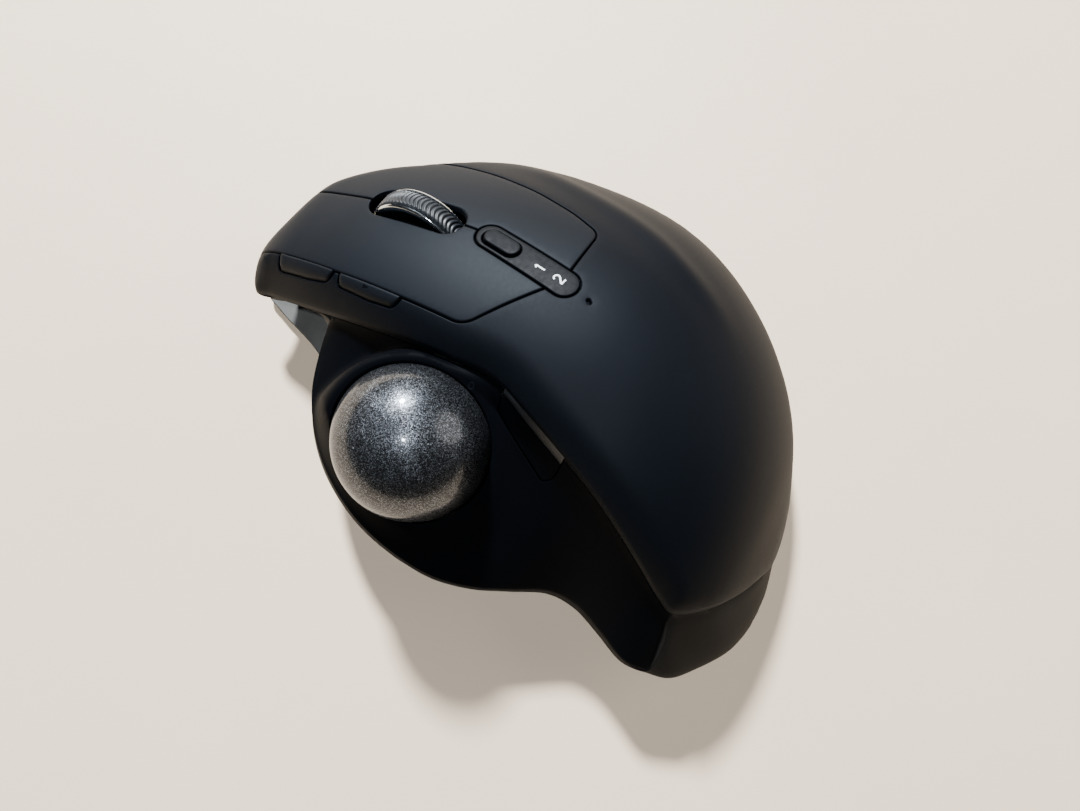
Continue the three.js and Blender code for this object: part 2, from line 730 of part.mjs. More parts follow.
// Everything under the right-hand facet, as a block.
function wedgeBelowFacet() {
  const far = HINGE_X + 60;
  const outline = [[HINGE_X, HINGE_Z], [far, facetHeight(far)], [far, -20], [HINGE_X, -20]];
  const shape = new THREE.Shape(outline.map(([x, z]) => new THREE.Vector2(x, z)));
  const geometry = new THREE.ExtrudeGeometry(shape, { depth: 180, bevelEnabled: false });
  geometry.rotateX(Math.PI / 2);
  geometry.translate(0, 90, 0);
  return toSolid(geometry);
}

function facetNormal(x) {
  if (x <= HINGE_X) return [0, 0, 1];
  const turn = THREE.MathUtils.degToRad(TILT);
  return [-Math.sin(turn), 0, Math.cos(turn)];
}

// A point a distance above the underside, square to the facet that it belongs to.
function aboveFacet(x, y, distance) {
  const up = facetNormal(x);
  return [x + up[0] * distance, y, facetHeight(x) + up[2] * distance];
}

function makeScrew(x, y) {
  const head = rod(2.1, 0.7, aboveFacet(x, y, 0.1), facetNormal(x), 18);
  const shank = rod(0.95, 8, aboveFacet(x, y, 0.5), facetNormal(x), 12);
  const recess = rod(0.6, 0.6, aboveFacet(x, y, 0), facetNormal(x), 6);
  return head.add(shank).subtract(recess);
}

// ---- trackball and its cup ----
function makeBall() {
  const geometry = new THREE.SphereGeometry(BALL_R, 28, 18);
  geometry.translate(...BALL_AT.toArray());
  return toSolid(geometry);
}

const BEARING_SPINS = [10, 130, 250]; // degrees about the opening's axis
const SENSOR_SPIN = -50;
const CUP_OUT = 18.9;
const CUP_IN = 17.4;
const SENSOR_TURN = 118; // degrees from the opening's axis to the sensor window
const BEARING_TURN = 125;
const BEARING_R = 1.5;

// Unit vector at an angle from the opening's axis, turned about it.
function fromAxis(turn, around) {
  const polar = THREE.MathUtils.degToRad(turn);
  const spin = THREE.MathUtils.degToRad(around);
  const side = new THREE.Vector3(0, 1, 0).cross(BALL_AXIS).normalize();
  const front = BALL_AXIS.clone().cross(side);
  return BALL_AXIS.clone()
    .multiplyScalar(Math.cos(polar))
    .addScaledVector(side, Math.sin(polar) * Math.cos(spin))
    .addScaledVector(front, Math.sin(polar) * Math.sin(spin));
}

function makeCup() {
  const profile = [];
  const steps = 6;
  const from = THREE.MathUtils.degToRad(108);
  for (let i = 0; i <= steps; i += 1) {
    const a = from + ((Math.PI - from) * i) / steps;
    profile.push(new THREE.Vector2(i === steps ? 0 : CUP_OUT * Math.sin(a), CUP_OUT * Math.cos(a)));
  }
  for (let i = steps; i >= 0; i -= 1) {
    const a = from + ((Math.PI - from) * i) / steps;
    profile.push(new THREE.Vector2(i === steps ? 0 : CUP_IN * Math.sin(a), CUP_IN * Math.cos(a)));
  }
  profile.push(profile[0].clone());
  const geometry = new THREE.LatheGeometry(profile, 24);
  const turn = new THREE.Quaternion().setFromUnitVectors(new THREE.Vector3(0, 1, 0), BALL_AXIS);
  geometry.applyQuaternion(turn);
  geometry.translate(...BALL_AT.toArray());
  let cup = toSolid(geometry);
  const floor = prism([[-60, -40], [20, -40], [20, 60], [-60, 60]], -10, HINGE_Z + WALL + 0.4);
  cup = cup.subtract(floor);
  BEARING_SPINS.forEach((spin) => {
    const out = fromAxis(BEARING_TURN, spin);
    const start = BALL_AT.clone().addScaledVector(out, CUP_IN - 1);
    cup = cup.subtract(rod(BEARING_R + 0.3, 4, start.toArray(), out.toArray(), 16));
  });
  const out = fromAxis(SENSOR_TURN, SENSOR_SPIN);
  const start = BALL_AT.clone().addScaledVector(out, CUP_IN - 1);
  return cup.subtract(rod(3.4, 4, start.toArray(), out.toArray(), 20));
}

function makeBearing(spin) {
  const out = fromAxis(BEARING_TURN, spin);
  const at = BALL_AT.clone().addScaledVector(out, BALL_R + 0.15 + BEARING_R);
  const geometry = new THREE.SphereGeometry(BEARING_R, 12, 8);
  geometry.translate(...at.toArray());
  return toSolid(geometry);
}

function makeSensorLens() {
  const out = fromAxis(SENSOR_TURN, SENSOR_SPIN);
  const start = BALL_AT.clone().addScaledVector(out, BALL_R + 0.6);
  return rod(3, 2.2, start.toArray(), out.toArray(), 20);
}

function makeSensor() {
  const out = fromAxis(SENSOR_TURN, SENSOR_SPIN);
  const start = BALL_AT.clone().addScaledVector(out, BALL_R + 3.1);
  return rod(4.4, 2, start.toArray(), out.toArray(), 6);
}

// ---- wheel ----
function ringAlongX(outer, inner, from, to, sides = 40) {
  const { x, y, z } = WHEEL_AT;
  const full = rod(outer, to - from, [x + from, y, z], [1, 0, 0], sides);
  if (inner <= 0) return full;
  return full.subtract(rod(inner, to - from + 2, [x + from - 1, y, z], [1, 0, 0], sides));
}

const TYRE_HALF = 2.1;
const RIM_OUT = 3.0;
const AXLE_R = 1;

function makeTyre() {
  return ringAlongX(WHEEL_R, WHEEL_R - 1.6, -TYRE_HALF, TYRE_HALF);
}

function makeHub() {
  return ringAlongX(WHEEL_R - 1.9, AXLE_R + 0.3, -2, 2, 32);
}

function makeRim(side) {
  const near = TYRE_HALF + 0.3;
  const from = side < 0 ? -RIM_OUT : near;
  return ringAlongX(WHEEL_R - 0.4, 8.2, from, from + RIM_OUT - near);
}

function makeAxle() {
  return ringAlongX(AXLE_R, 0, -5.9, 5.6, 16);
}

const CRADLE_BASE = 16.2; // height of the axis on which the wheel tilts sideways

function makeCradle() {
  const { x, y, z } = WHEEL_AT;
  let cradle = box([11.6, 6, 1.4], [x, y, CRADLE_BASE]);
  [-1, 1].forEach((side) => {
    const tall = z + 2.4 - CRADLE_BASE;
    cradle = cradle.add(box([1.2, 5, tall], [x + side * 5, y, CRADLE_BASE + tall / 2]));
  });
  cradle = cradle.add(rod(1, 13.6, [x, y - 6.8, CRADLE_BASE], [0, 1, 0], 14));
  return cradle.subtract(rod(AXLE_R + 0.3, 14, [x - 7, y, z], [1, 0, 0], 16));
}

function makeEncoder() {
  return box([3.2, 6, 10], [WHEEL_AT.x + 7.5, WHEEL_AT.y, WHEEL_AT.z]);
}

function makePressFrame() {
  const { x, y } = WHEEL_AT;
  let frame = box([13, 17, 1.4], [x, y, 11.9]);
  [-1, 1].forEach((side) => {
    frame = frame.add(box([7, 1.6, 7], [x, y + side * 5.2, 15.1]));
  });
  return frame.subtract(rod(1.3, 30, [x, y - 15, CRADLE_BASE], [0, 1, 0], 16));
}

// ---- switches, boards and power ----
const BOARD_THICK = 1.2;
const KEY_BOARD_Z = 19.4;

function makeKeyBoard() {
  return box([22, 6.6, BOARD_THICK], [9, KEY_SWITCH_Y, KEY_BOARD_Z]);
}

// A switch with its foot at the origin: a case with a round plunger on top.
function makeSwitch(size, plunger) {
  const knob = rod(Math.min(0.3 * size[0], 0.9), plunger + 1, [0, 0, size[2] - 1], [0, 0, 1], 12);
  return box(size, [0, 0, size[2] / 2]).add(knob);
}

function makeKeySwitch(side) {
  const foot = KEY_BOARD_Z + BOARD_THICK / 2 + GAP;
  const solid = makeSwitch([5.6, 5.2, 6.4], 0.8);
  return solid.translate([SEAM_X + side * KEY_SWITCH_X, KEY_SWITCH_Y, foot]);
}

// The two side buttons' switches share a narrow board that slopes with the rim above it.
const SIDE_SWITCH_X = -7.2;
const SIDE_SWITCH_YS = [54.4, 38.6];
const SIDE_BOARD_DEPTH = 8.2; // below the palm surface

function onSideBoard(solid, y) {
  const [front, rear] = SIDE_SWITCH_YS.map((at) => topHeight(SIDE_SWITCH_X, at));
  const rise = (rear - front) / (SIDE_SWITCH_YS[0] - SIDE_SWITCH_YS[1]);
  const height = front + rise * (SIDE_SWITCH_YS[0] - y) - SIDE_BOARD_DEPTH;
  const slope = THREE.MathUtils.radToDeg(Math.atan(rise));
  return solid.rotate([-slope, 0, 0]).translate([SIDE_SWITCH_X, y, height]);
}

function makeSideBoard() {
  const middle = (SIDE_SWITCH_YS[0] + SIDE_SWITCH_YS[1]) / 2;
  return onSideBoard(box([4, 24, BOARD_THICK], [0, 0, 0]), middle);
}

function makeSideSwitch(y) {
  return onSideBoard(makeSwitch([3.4, 4.4, 1.6], 0.5).translate([0, 0, BOARD_THICK / 2 + 0.3]), y);
}

const PRECISION_SWITCH_AT = [-15.6, -6.4, 25.8];
const PRECISION_SWITCH_TURN = -50; // about Y, to face the thumb wall

function makePrecisionSwitch() {
  const solid = makeSwitch([4, 4.4, 1.8], 0.5);
  return solid.rotate([0, PRECISION_SWITCH_TURN, 0]).translate(PRECISION_SWITCH_AT);
}

const MODE_BOARD_AT = [9, 11.4, 38.6];

function makeModeBoard() {
  return box([8.6, 22, BOARD_THICK], MODE_BOARD_AT);
}

function makeModeSwitch() {
  const foot = MODE_BOARD_AT[2] + BOARD_THICK / 2 + 0.3;
  return makeSwitch([4.6, 4.6, 2], 0.5).translate([10, 19.4, foot]);
}

// Clear rods that carry each channel's light up to its digit in the mode strip.
const CHANNEL_LIGHTS = [
  [8, 8.9],
  [7, 4.6],
];

function makeChannelLight([x, y]) {
  const foot = MODE_BOARD_AT[2] + BOARD_THICK / 2 + 0.3;
  return rod(1, domeHeight(x, y) - 2.6 - foot, [x, y, foot], [0, 0, 1], 12);
}

const BOARD_SIZE = [24, 42, BOARD_THICK];
const BOARD_AT = [25, -6];
const BOARD_LIFT = 6; // above the right-hand facet

// A box parallel to the right-hand facet.
function onFacet(size, x, y, above) {
  return box(size, aboveFacet(x, y, above), -TILT);
}

function makeMainBoard() {
  return onFacet(BOARD_SIZE, ...BOARD_AT, BOARD_LIFT);
}

function makeProcessor() {
  return onFacet([7, 7, 1], 22, 0, BOARD_LIFT + BOARD_THICK / 2 + 0.8);
}

function makeBattery() {
  return box([19, 25, 6], [0, -22, 10.9]);
}

function makeWheelSwitch() {
  return makeSwitch([4.6, 4.6, 2], 0.4).translate([9, 32.4, 7.6]);
}

// Disc magnets under each facet, which hold the housing at one end of its tilt or the other.
function makeMagnet(x, y) {
  return rod(4, 2, aboveFacet(x, y, WALL + GAP), facetNormal(x), 20);
}

function makeUsbPort() {
  const [x, y, z] = USB_AT;
  return box([7.4, 5.2, 2.8], [x, y, z]).subtract(box([6.5, 5, 1.9], [x, y + 1, z]));
}

function makeUsbBoard() {
  const [x, y, z] = USB_AT;
  return box([8.6, 6, BOARD_THICK], [x - 0.4, y - 3.6, z - 1.4 - GAP - BOARD_THICK / 2]);
}

function makePowerSlider() {
  const [x, y] = POWER_AT;
  const pad = box([3.2, 3.2, 1.4], [x - 1.8, y, HINGE_Z + 0.9]);
  const stem = box([1.2, 1.2, 1.2], [x - 1.8, y, HINGE_Z + 1.8]);
  return pad.add(stem);
}

function makePowerSwitch() {
  const [x, y] = POWER_AT;
  return box([8, 3.6, 2.6], [x, y, HINGE_Z + 4.1]);
}

// Plan outline of the base plate, anticlockwise, in the desk's own frame.
const PLATE_LINE = [
  [-5.2, 72.2],
  [-8.6, 66.4],
  [-12.2, 54],
  [-18, 44],
  [-26, 35],
  [-33, 24],
  [-36.6, 12],
  [-36.6, 0],
  [-33, -12],
  [-28, -22],
  [-26.6, -34],
  [-29, -46],
  [-28, -55],
  [-21, -62.4],
  [-10, -65.6],
  [4, -63.6],
  [20, -55.6],
  [36, -41],
  [47, -24],
  [52.6, -4],
  [51, 16],
  [43, 33],
  [31, 49],
  [19, 61],
  [6, 69.6],
];

function makeBaseMat() {
  return prism(inset(dense(PLATE_LINE, 56), 0.8), 0, MAT_THICK);
}

function makeBasePlate() {
  let plate = prism(dense(PLATE_LINE, 64), MAT_THICK + 0.3, PLATE_TOP);
  const below = prism([[-50, -80], [60, -80], [60, 80], [-50, 80]], -10, MAT_THICK + 0.3);
  LUGS.forEach((y) => {
    const lug = rod(LUG_R, LUG_LONG, [HINGE_X, y - LUG_LONG / 2, HINGE_Z + 0.2], [0, 1, 0], 20);
    const hole = rod(PIN_R + 0.3, LUG_LONG + 2, [HINGE_X, y - LUG_LONG / 2 - 1, PIN_Z], [0, 1, 0], 16);
    plate = plate.add(lug.subtract(below)).subtract(hole);
  });
  return plate;
}

function makeHingePin(y) {
  return rod(PIN_R, LUG_LONG + 6, [HINGE_X, y - LUG_LONG / 2 - 3, PIN_Z], [0, 1, 0], 14);
}

// ---- finishes ----
const FINISHES = {
  soft_black: [0x23262b, 0.62, 0],
  key_black: [0x2b2e33, 0.55, 0],
  panel_black: [0x0d1016, 0.5, 0],
  shell_black: [0x2a2a28, 0.68, 0],
  gloss_black: [0x16181c, 0.3, 0],
  pearl: [0x55565a, 0.28, 0.6],
  steel: [0x686866, 0.4, 1],
  chrome: [0xb4b8bd, 0.15, 1],
  rubber: [0x1c1e21, 0.85, 0],
  plastic: [0x3a3c40, 0.6, 0],
  white: [0xe8e8e6, 0.5, 0],
  board: [0x1f5a35, 0.5, 0],
  cell: [0x9aa0a6, 0.45, 0],
  ceramic: [0xd9d2c8, 0.3, 0],
  lens: [0xa8bcc4, 0.1, 0],
};

function material(finish) {
  const [color, roughness, metalness] = FINISHES[finish];
  return new THREE.MeshStandardMaterial({ color, roughness, metalness });
}

function addPiece(group, name, solid, finish) {
  const mesh = new THREE.Mesh(toGeometry(solid), material(finish));
  mesh.name = name;
  group.add(mesh);
}

// ---- assembly ----
const mouse = new THREE.Group();
addPiece(mouse, 'base_mat', makeBaseMat(), 'rubber');
addPiece(mouse, 'base_plate', makeBasePlate(), 'steel');
addPiece(mouse, 'hinge_pin_front', makeHingePin(LUGS[0]), 'steel');
addPiece(mouse, 'hinge_pin_rear', makeHingePin(LUGS[1]), 'steel');

const housing = new THREE.Group();
const dome = domeShell();
const core = domeCore();
const cover = makeTopCover(dome, core);
const thumb = largest(clearOf(thumbShell(), dome));
const chassis = largest(clearOf(clearOf(makeChassis(trayShell()), cover), thumb));
addPiece(housing, 'bottom_chassis', chassis, 'shell_black');
addPiece(housing, 'top_cover', cover, 'soft_black');
addPiece(housing, 'thumb_panel', makeThumbPanel(thumb), 'panel_black');
SCREWS.forEach(([x, y], i) => {
  addPiece(housing, `chassis_screw_${i + 1}`, makeScrew(x, y), 'steel');
});
addPiece(housing, 'magnet_flat', makeMagnet(-30, -14), 'chrome');
addPiece(housing, 'magnet_tilt', makeMagnet(43, -8), 'chrome');

addPiece(housing, 'left_key', makeKey(dome, core, -1), 'key_black');
addPiece(housing, 'right_key', makeKey(dome, core, 1), 'key_black');
addPiece(housing, 'key_board', makeKeyBoard(), 'board');
addPiece(housing, 'left_switch', makeKeySwitch(-1), 'plastic');
addPiece(housing, 'right_switch', makeKeySwitch(1), 'plastic');
addPiece(housing, 'forward_button', domePlate(FORWARD_OUTLINE, 0.5, 3.2), 'key_black');
addPiece(housing, 'back_button', domePlate(BACK_OUTLINE, 0.5, 3.2), 'key_black');
addPiece(housing, 'side_board', makeSideBoard(), 'board');
addPiece(housing, 'forward_switch', makeSideSwitch(SIDE_SWITCH_YS[0]), 'plastic');
addPiece(housing, 'back_switch', makeSideSwitch(SIDE_SWITCH_YS[1]), 'plastic');
addPiece(housing, 'precision_button', makePrecisionButton(thumb), 'gloss_black');
addPiece(housing, 'precision_switch', makePrecisionSwitch(), 'plastic');

addPiece(housing, 'mode_strip', makeModeStrip(), 'gloss_black');
addPiece(housing, 'mode_button', makeModeButton(), 'gloss_black');
addPiece(housing, 'mode_board', makeModeBoard(), 'board');
addPiece(housing, 'mode_switch', makeModeSwitch(), 'plastic');
CHANNEL_LIGHTS.forEach((at, i) => {
  addPiece(housing, `channel_light_${i + 1}`, makeChannelLight(at), 'lens');
});
addPiece(housing, 'battery_light', makeBatteryLight(), 'white');

addPiece(housing, 'trackball', makeBall(), 'pearl');
addPiece(housing, 'ball_cup', largest(clearOf(makeCup(), thumb)), 'plastic');
BEARING_SPINS.forEach((spin, i) => {
  addPiece(housing, `ball_bearing_${i + 1}`, makeBearing(spin), 'ceramic');
});
addPiece(housing, 'sensor_lens', makeSensorLens(), 'lens');
addPiece(housing, 'ball_sensor', makeSensor(), 'plastic');

addPiece(housing, 'wheel_tyre', makeTyre(), 'rubber');
addPiece(housing, 'wheel_hub', makeHub(), 'plastic');
addPiece(housing, 'wheel_rim_left', makeRim(-1), 'chrome');
addPiece(housing, 'wheel_rim_right', makeRim(1), 'chrome');
addPiece(housing, 'wheel_axle', makeAxle(), 'steel');
addPiece(housing, 'wheel_cradle', makeCradle(), 'plastic');
addPiece(housing, 'wheel_encoder', makeEncoder(), 'plastic');
addPiece(housing, 'wheel_press_frame', makePressFrame(), 'plastic');
addPiece(housing, 'wheel_switch', makeWheelSwitch(), 'plastic');

addPiece(housing, 'main_board', makeMainBoard(), 'board');
addPiece(housing, 'processor', makeProcessor(), 'plastic');
addPiece(housing, 'battery', makeBattery(), 'cell');
addPiece(housing, 'usb_port', makeUsbPort(), 'chrome');
addPiece(housing, 'usb_board', makeUsbBoard(), 'board');
addPiece(housing, 'power_slider', makePowerSlider(), 'plastic');
addPiece(housing, 'power_switch', makePowerSwitch(), 'plastic');

housing.position.set(HINGE_X, 0, PIN_Z);
housing.rotation.y = THREE.MathUtils.degToRad(TILT);
housing.children.forEach((piece) => piece.position.set(-HINGE_X, 0, -PIN_Z));
mouse.add(housing);

export default mouse;
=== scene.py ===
import json
import math

import bmesh
import bpy
import numpy as np
from mathutils import Matrix, Vector
from mathutils.geometry import delaunay_2d_cdt


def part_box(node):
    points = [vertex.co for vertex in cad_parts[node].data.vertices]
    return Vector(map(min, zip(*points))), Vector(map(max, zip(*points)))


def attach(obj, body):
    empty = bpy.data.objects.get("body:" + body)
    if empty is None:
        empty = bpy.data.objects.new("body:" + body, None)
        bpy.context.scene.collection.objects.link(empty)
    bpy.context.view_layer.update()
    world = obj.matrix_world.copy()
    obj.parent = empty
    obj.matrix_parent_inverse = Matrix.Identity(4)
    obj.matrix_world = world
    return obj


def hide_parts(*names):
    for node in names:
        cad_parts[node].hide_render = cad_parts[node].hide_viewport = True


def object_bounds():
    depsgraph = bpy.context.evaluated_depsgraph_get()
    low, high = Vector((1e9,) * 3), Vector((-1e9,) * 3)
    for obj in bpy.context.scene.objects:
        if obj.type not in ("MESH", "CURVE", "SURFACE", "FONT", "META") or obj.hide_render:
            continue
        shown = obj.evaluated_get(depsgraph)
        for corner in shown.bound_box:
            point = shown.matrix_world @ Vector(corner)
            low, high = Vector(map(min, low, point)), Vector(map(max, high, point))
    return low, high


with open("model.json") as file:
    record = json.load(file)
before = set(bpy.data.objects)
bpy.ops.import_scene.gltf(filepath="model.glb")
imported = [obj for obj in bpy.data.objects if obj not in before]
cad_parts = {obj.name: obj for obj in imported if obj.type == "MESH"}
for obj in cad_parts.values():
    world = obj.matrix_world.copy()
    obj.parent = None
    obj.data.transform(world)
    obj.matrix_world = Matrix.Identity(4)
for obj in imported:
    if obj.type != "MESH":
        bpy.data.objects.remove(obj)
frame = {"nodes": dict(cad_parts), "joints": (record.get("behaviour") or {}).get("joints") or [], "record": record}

cad_box = [list(corner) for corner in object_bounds()]
joints = {joint["name"]: joint for joint in frame["joints"]}
MM = 0.001
HINGE = np.array(joints["housing_tilt"]["pos_m"]) / MM
TILT = math.radians(-joints["housing_tilt"]["range_deg"][0])

# ---- driving dimensions, millimetres ----
HINGE_X = 4.0  # the two underside facets meet here
HINGE_Z = 3.0
PLATE_LOW = 1.3
PLATE_TOP = 2.6
MAT_TOP = 1.0
WALL = 1.7
GAP = 0.35
LIGHT_GAP = 0.12
PANEL_GAP = 0.25
KEY_TRAVEL = 1.2
BALL_R = 17.0
RING_UP = 3.0
RING_R = 17.25
BALL_AXIS = np.array([-0.66, -0.09, 0.745]) / np.linalg.norm([-0.66, -0.09, 0.745])
SEAM_X = 11.1
SLOT_HALF = 4.1
SLOT_REAR, SLOT_FRONT = (SEAM_X, 32.9), (SEAM_X, 47.6)
STRIP_REAR, STRIP_FRONT, STRIP_R = (7.0, 3.6), (10.6, 22.3), 3.0
MODE_REAR, MODE_FRONT, MODE_R = (9.5, 17.0), (10.4, 21.8), 1.85
LIGHT_REAR, LIGHT_FRONT, LIGHT_R = (5.45, -2.8), (5.8, -2.4), 0.28
WHEEL_R = 12.3
TYRE_INNER = 10.7
TYRE_HALF = 2.1
RIM_INNER = 8.2
RIM_OUT = 3.0
EJECT_R = 7.0
LUGS = (44.0, -44.0)
LUG_LONG = 5.0
LUG_R = 2.2
PIN_R = 0.8
SCREWS = ((45, 12), (30, -37), (-2, -55.5), (-13, -33))
POWER_AT = (-20.0, -46.0)


def to_rest(points):
    """Level millimetres to the frame's rest pose in metres."""
    p = np.asarray(points, float).reshape(-1, 3) - HINGE
    c, s = math.cos(TILT), math.sin(TILT)
    turned = np.stack([c * p[:, 0] + s * p[:, 2], p[:, 1], c * p[:, 2] - s * p[:, 0]], axis=1)
    return (turned + HINGE) * MM


def to_level(point_m):
    """One rest point in metres to level millimetres."""
    p = np.asarray(point_m, float) / MM - HINGE
    c, s = math.cos(TILT), math.sin(TILT)
    return np.array([c * p[0] - s * p[2], p[1], c * p[2] + s * p[0]]) + HINGE


def middle(node):
    low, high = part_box(node)
    return (np.array(low) + np.array(high)) / 2


BALL_AT = to_level(middle("trackball"))
WHEEL_AT = to_level(joints["wheel_spin"]["pos_m"])


# ---- smooth curves ----
def along(knots, at, column):
    """A column's value on a smooth curve through knots [at, value, ...]."""
    k = np.asarray(knots, float)
    last = len(k) - 1
    at = np.clip(np.asarray(at, float), k[0, 0], k[last, 0])
    i = np.clip(np.searchsorted(k[:, 0], at, side="left") - 1, 0, last - 1)
    before = np.maximum(np.arange(last + 1) - 1, 0)
    after = np.minimum(np.arange(last + 1) + 1, last)
    slope = (k[after, column] - k[before, column]) / (k[after, 0] - k[before, 0])
    span = k[i + 1, 0] - k[i, 0]
    t = (at - k[i, 0]) / span
    t2, t3 = t * t, t * t * t
    start = (2 * t3 - 3 * t2 + 1) * k[i, column] + (t3 - 2 * t2 + t) * span * slope[i]
    return start + (3 * t2 - 2 * t3) * k[i + 1, column] + (t3 - t2) * span * slope[i + 1]


def between(a, b, c, d, t):
    """Catmull-Rom curve from b, at t = 0, to c, at t = 1."""
    bend = (2 * a - 5 * b + 4 * c - d) * t * t
    twist = (3 * b - a - 3 * c + d) * t**3
    return b + ((c - a) * t + bend + twist) / 2


def curve_through(points, count, closed=True):
    """Even samples of a Catmull-Rom curve through points of any size."""
    p = np.asarray(points, float)
    n = len(p)
    spans = n if closed else n - 1
    u = np.minimum(np.arange(count) / (count if closed else count - 1) * spans, spans - 1e-9)
    i = np.floor(u).astype(int)
    t = (u - i)[:, None]

    def pick(k):
        return p[k % n] if closed else p[np.clip(k, 0, n - 1)]

    return between(pick(i - 1), pick(i), pick(i + 1), pick(i + 2), t)


def smooth(t):
    k = np.clip(t, 0, 1)
    return k * k * (3 - 2 * k)


# ---- plan outlines ----
def rounded(corners, steps=9):
    """Closed outline from (x, y, corner radius), each corner an arc."""
    out = []
    n = len(corners)
    for i, (x, y, r) in enumerate(corners):
        p = np.array([x, y])
        a = np.array(corners[i - 1][:2]) - p
        b = np.array(corners[(i + 1) % n][:2]) - p
        if r <= 0:
            out.append(p)
            continue
        la, lb = np.linalg.norm(a), np.linalg.norm(b)
        a, b = a / la, b / lb
        half = math.acos(np.clip(a @ b, -1, 1)) / 2
        reach = min(r / math.tan(half), 0.49 * la, 0.49 * lb)
        radius = reach * math.tan(half)
        centre = p + (a + b) / np.linalg.norm(a + b) * radius / math.sin(half)
        start = math.atan2(*(p + a * reach - centre)[::-1])
        sweep = math.atan2(*(p + b * reach - centre)[::-1]) - start
        sweep = (sweep + math.pi) % (2 * math.pi) - math.pi
        out.extend(centre + radius * directions(start + sweep * np.arange(steps + 1) / steps))
    return np.array(out)


def full_turn(steps):
    return 2 * math.pi * np.arange(steps) / steps


def directions(angles):
    return np.stack([np.cos(angles), np.sin(angles)], axis=1)


def capsule(a, b, radius, steps=24):
    """Outline of a slot with round ends, anticlockwise."""
    a, b = np.array(a), np.array(b)
    heading = math.atan2(*(b - a)[::-1])
    angles = heading - math.pi / 2 + math.pi * np.arange(steps + 1) / steps
    front = b + radius * directions(angles)
    rear = a + radius * directions(angles + math.pi)
    return np.concatenate([front, rear])


def circle(x, y, radius, steps=48):
    return [x, y] + radius * directions(full_turn(steps))


def rectangle(x, y, wide, long):
    corners = [(-0.5, -0.5), (0.5, -0.5), (0.5, 0.5), (-0.5, 0.5)]
    return np.array([(x + wide * a, y + long * b) for a, b in corners])


def anticlockwise(loop):
    x, y = loop[:, 0], loop[:, 1]
    area = np.sum(x * np.roll(y, -1) - np.roll(x, -1) * y)
    return loop if area > 0 else loop[::-1].copy()


def unit(rows):
    return rows / np.maximum(np.linalg.norm(rows, axis=1, keepdims=True), 1e-9)


def left_of(steps):
    """Unit normals to the left of these plan steps."""
    return unit(np.stack([-steps[:, 1], steps[:, 0]], axis=1))


def grown(loop, distance):
    """An anticlockwise outline moved outwards, its corners stretched to keep their angle."""
    left = left_of(np.roll(loop, -1, axis=0) - loop)
    mean = unit(left + np.roll(left, 1, axis=0))
    stretch = np.maximum(np.sum(mean * left, axis=1), 0.5)[:, None]
    return loop - mean * distance / stretch


def sides_of(path, wide):
    """An open path moved to its left and to its right."""
    side = left_of(np.gradient(path, axis=0)) * wide
    return path + side, path - side


def divided(loop, step):
    """The same outline with its long sides divided."""
    out = []
    for a, b in zip(loop, np.roll(loop, -1, axis=0)):
        count = max(1, math.ceil(np.linalg.norm(b - a) / step))
        out.extend(a + (b - a) * k / count for k in range(count))
    return np.array(out)


def inside(loop, points):
    """Which points lie inside a closed outline."""
    x, y = points[:, 0], points[:, 1]
    odd = np.zeros(len(points), bool)
    for (ax, ay), (bx, by) in zip(loop, np.roll(loop, -1, axis=0)):
        crosses = (ay > y) != (by > y)
        if crosses.any():
            odd ^= crosses & (x < (bx - ax) * (y - ay) / (by - ay if by != ay else 1e-12) + ax)
    return odd


CHUNK = 2000  # points compared at once, to spare memory


def nearest(loop, points, closed=True):
    """Distance to an outline, the nearest segment and the place along it."""
    a = loop if closed else loop[:-1]
    b = np.roll(loop, -1, axis=0) if closed else loop[1:]
    d = b - a
    length2 = np.maximum(np.sum(d * d, axis=1), 1e-12)
    best = np.full(len(points), np.inf)
    segment = np.zeros(len(points), int)
    place = np.zeros(len(points))
    for start in range(0, len(points), CHUNK):
        part = slice(start, start + CHUNK)
        p = points[part]
        rel = p[:, None] - a
        t = np.clip(np.sum(rel * d, axis=2) / length2, 0, 1)
        far = np.linalg.norm(rel - t[..., None] * d, axis=2)
        k = np.argmin(far, axis=1)
        rows = np.arange(len(p))
        best[part], segment[part], place[part] = far[rows, k], k, t[rows, k]
    return best, segment, place


def triangulate(points, edges):
    """Constrained Delaunay triangles over plan points, anticlockwise."""
    made = delaunay_2d_cdt([Vector(p) for p in points], edges, [], 0, 1e-5)
    verts = np.array([tuple(v) for v in made[0]])
    faces = np.array([f for f in made[2] if len(f) == 3])
    a, b, c = verts[faces].transpose(1, 0, 2)
    ab, ac = b - a, c - a
    area = ab[:, 0] * ac[:, 1] - ab[:, 1] * ac[:, 0]
    faces[area < 0] = faces[area < 0][:, ::-1]
    return verts, faces[np.abs(area) > 1e-9]


def loop_edges(loops):
    edges, start = [], 0
    for loop in loops:
        n = len(loop)
        edges.extend((start + k, start + (k + 1) % n) for k in range(n))
        start += n
    return edges


def boundary_of(faces):
    """Directed edges with no neighbour, chained into closed loops of vertex numbers."""
    directed = {(f[k], f[(k + 1) % 3]) for f in faces.tolist() for k in range(3)}
    follow = {a: b for a, b in directed if (b, a) not in directed}
    loops = []
    while follow:
        start, at = next(iter(follow.items()))
        loop = [start]
        del follow[start]
        while at != start and at in follow:
            loop.append(at)
            at = follow.pop(at)
        loops.append(loop)
    return loops


def covered(points, within, without):
    """Which points lie inside every outline of one list and outside every one of the other."""
    answers = [inside(loop, points) for loop in within] + [~inside(loop, points) for loop in without]
    return np.all(answers, axis=0)


def region(within, without=()):
    """Boundary loops, material on the left, of the plan area inside some outlines and outside others."""
    outlines = [*within, *without]
    verts, faces = triangulate(np.concatenate(outlines), loop_edges(outlines))
    kept = faces[covered(verts[faces].mean(axis=1), within, without)]
    loops = [verts[loop] for loop in boundary_of(kept)]
    return [loop for loop in loops if len(loop) > 3]


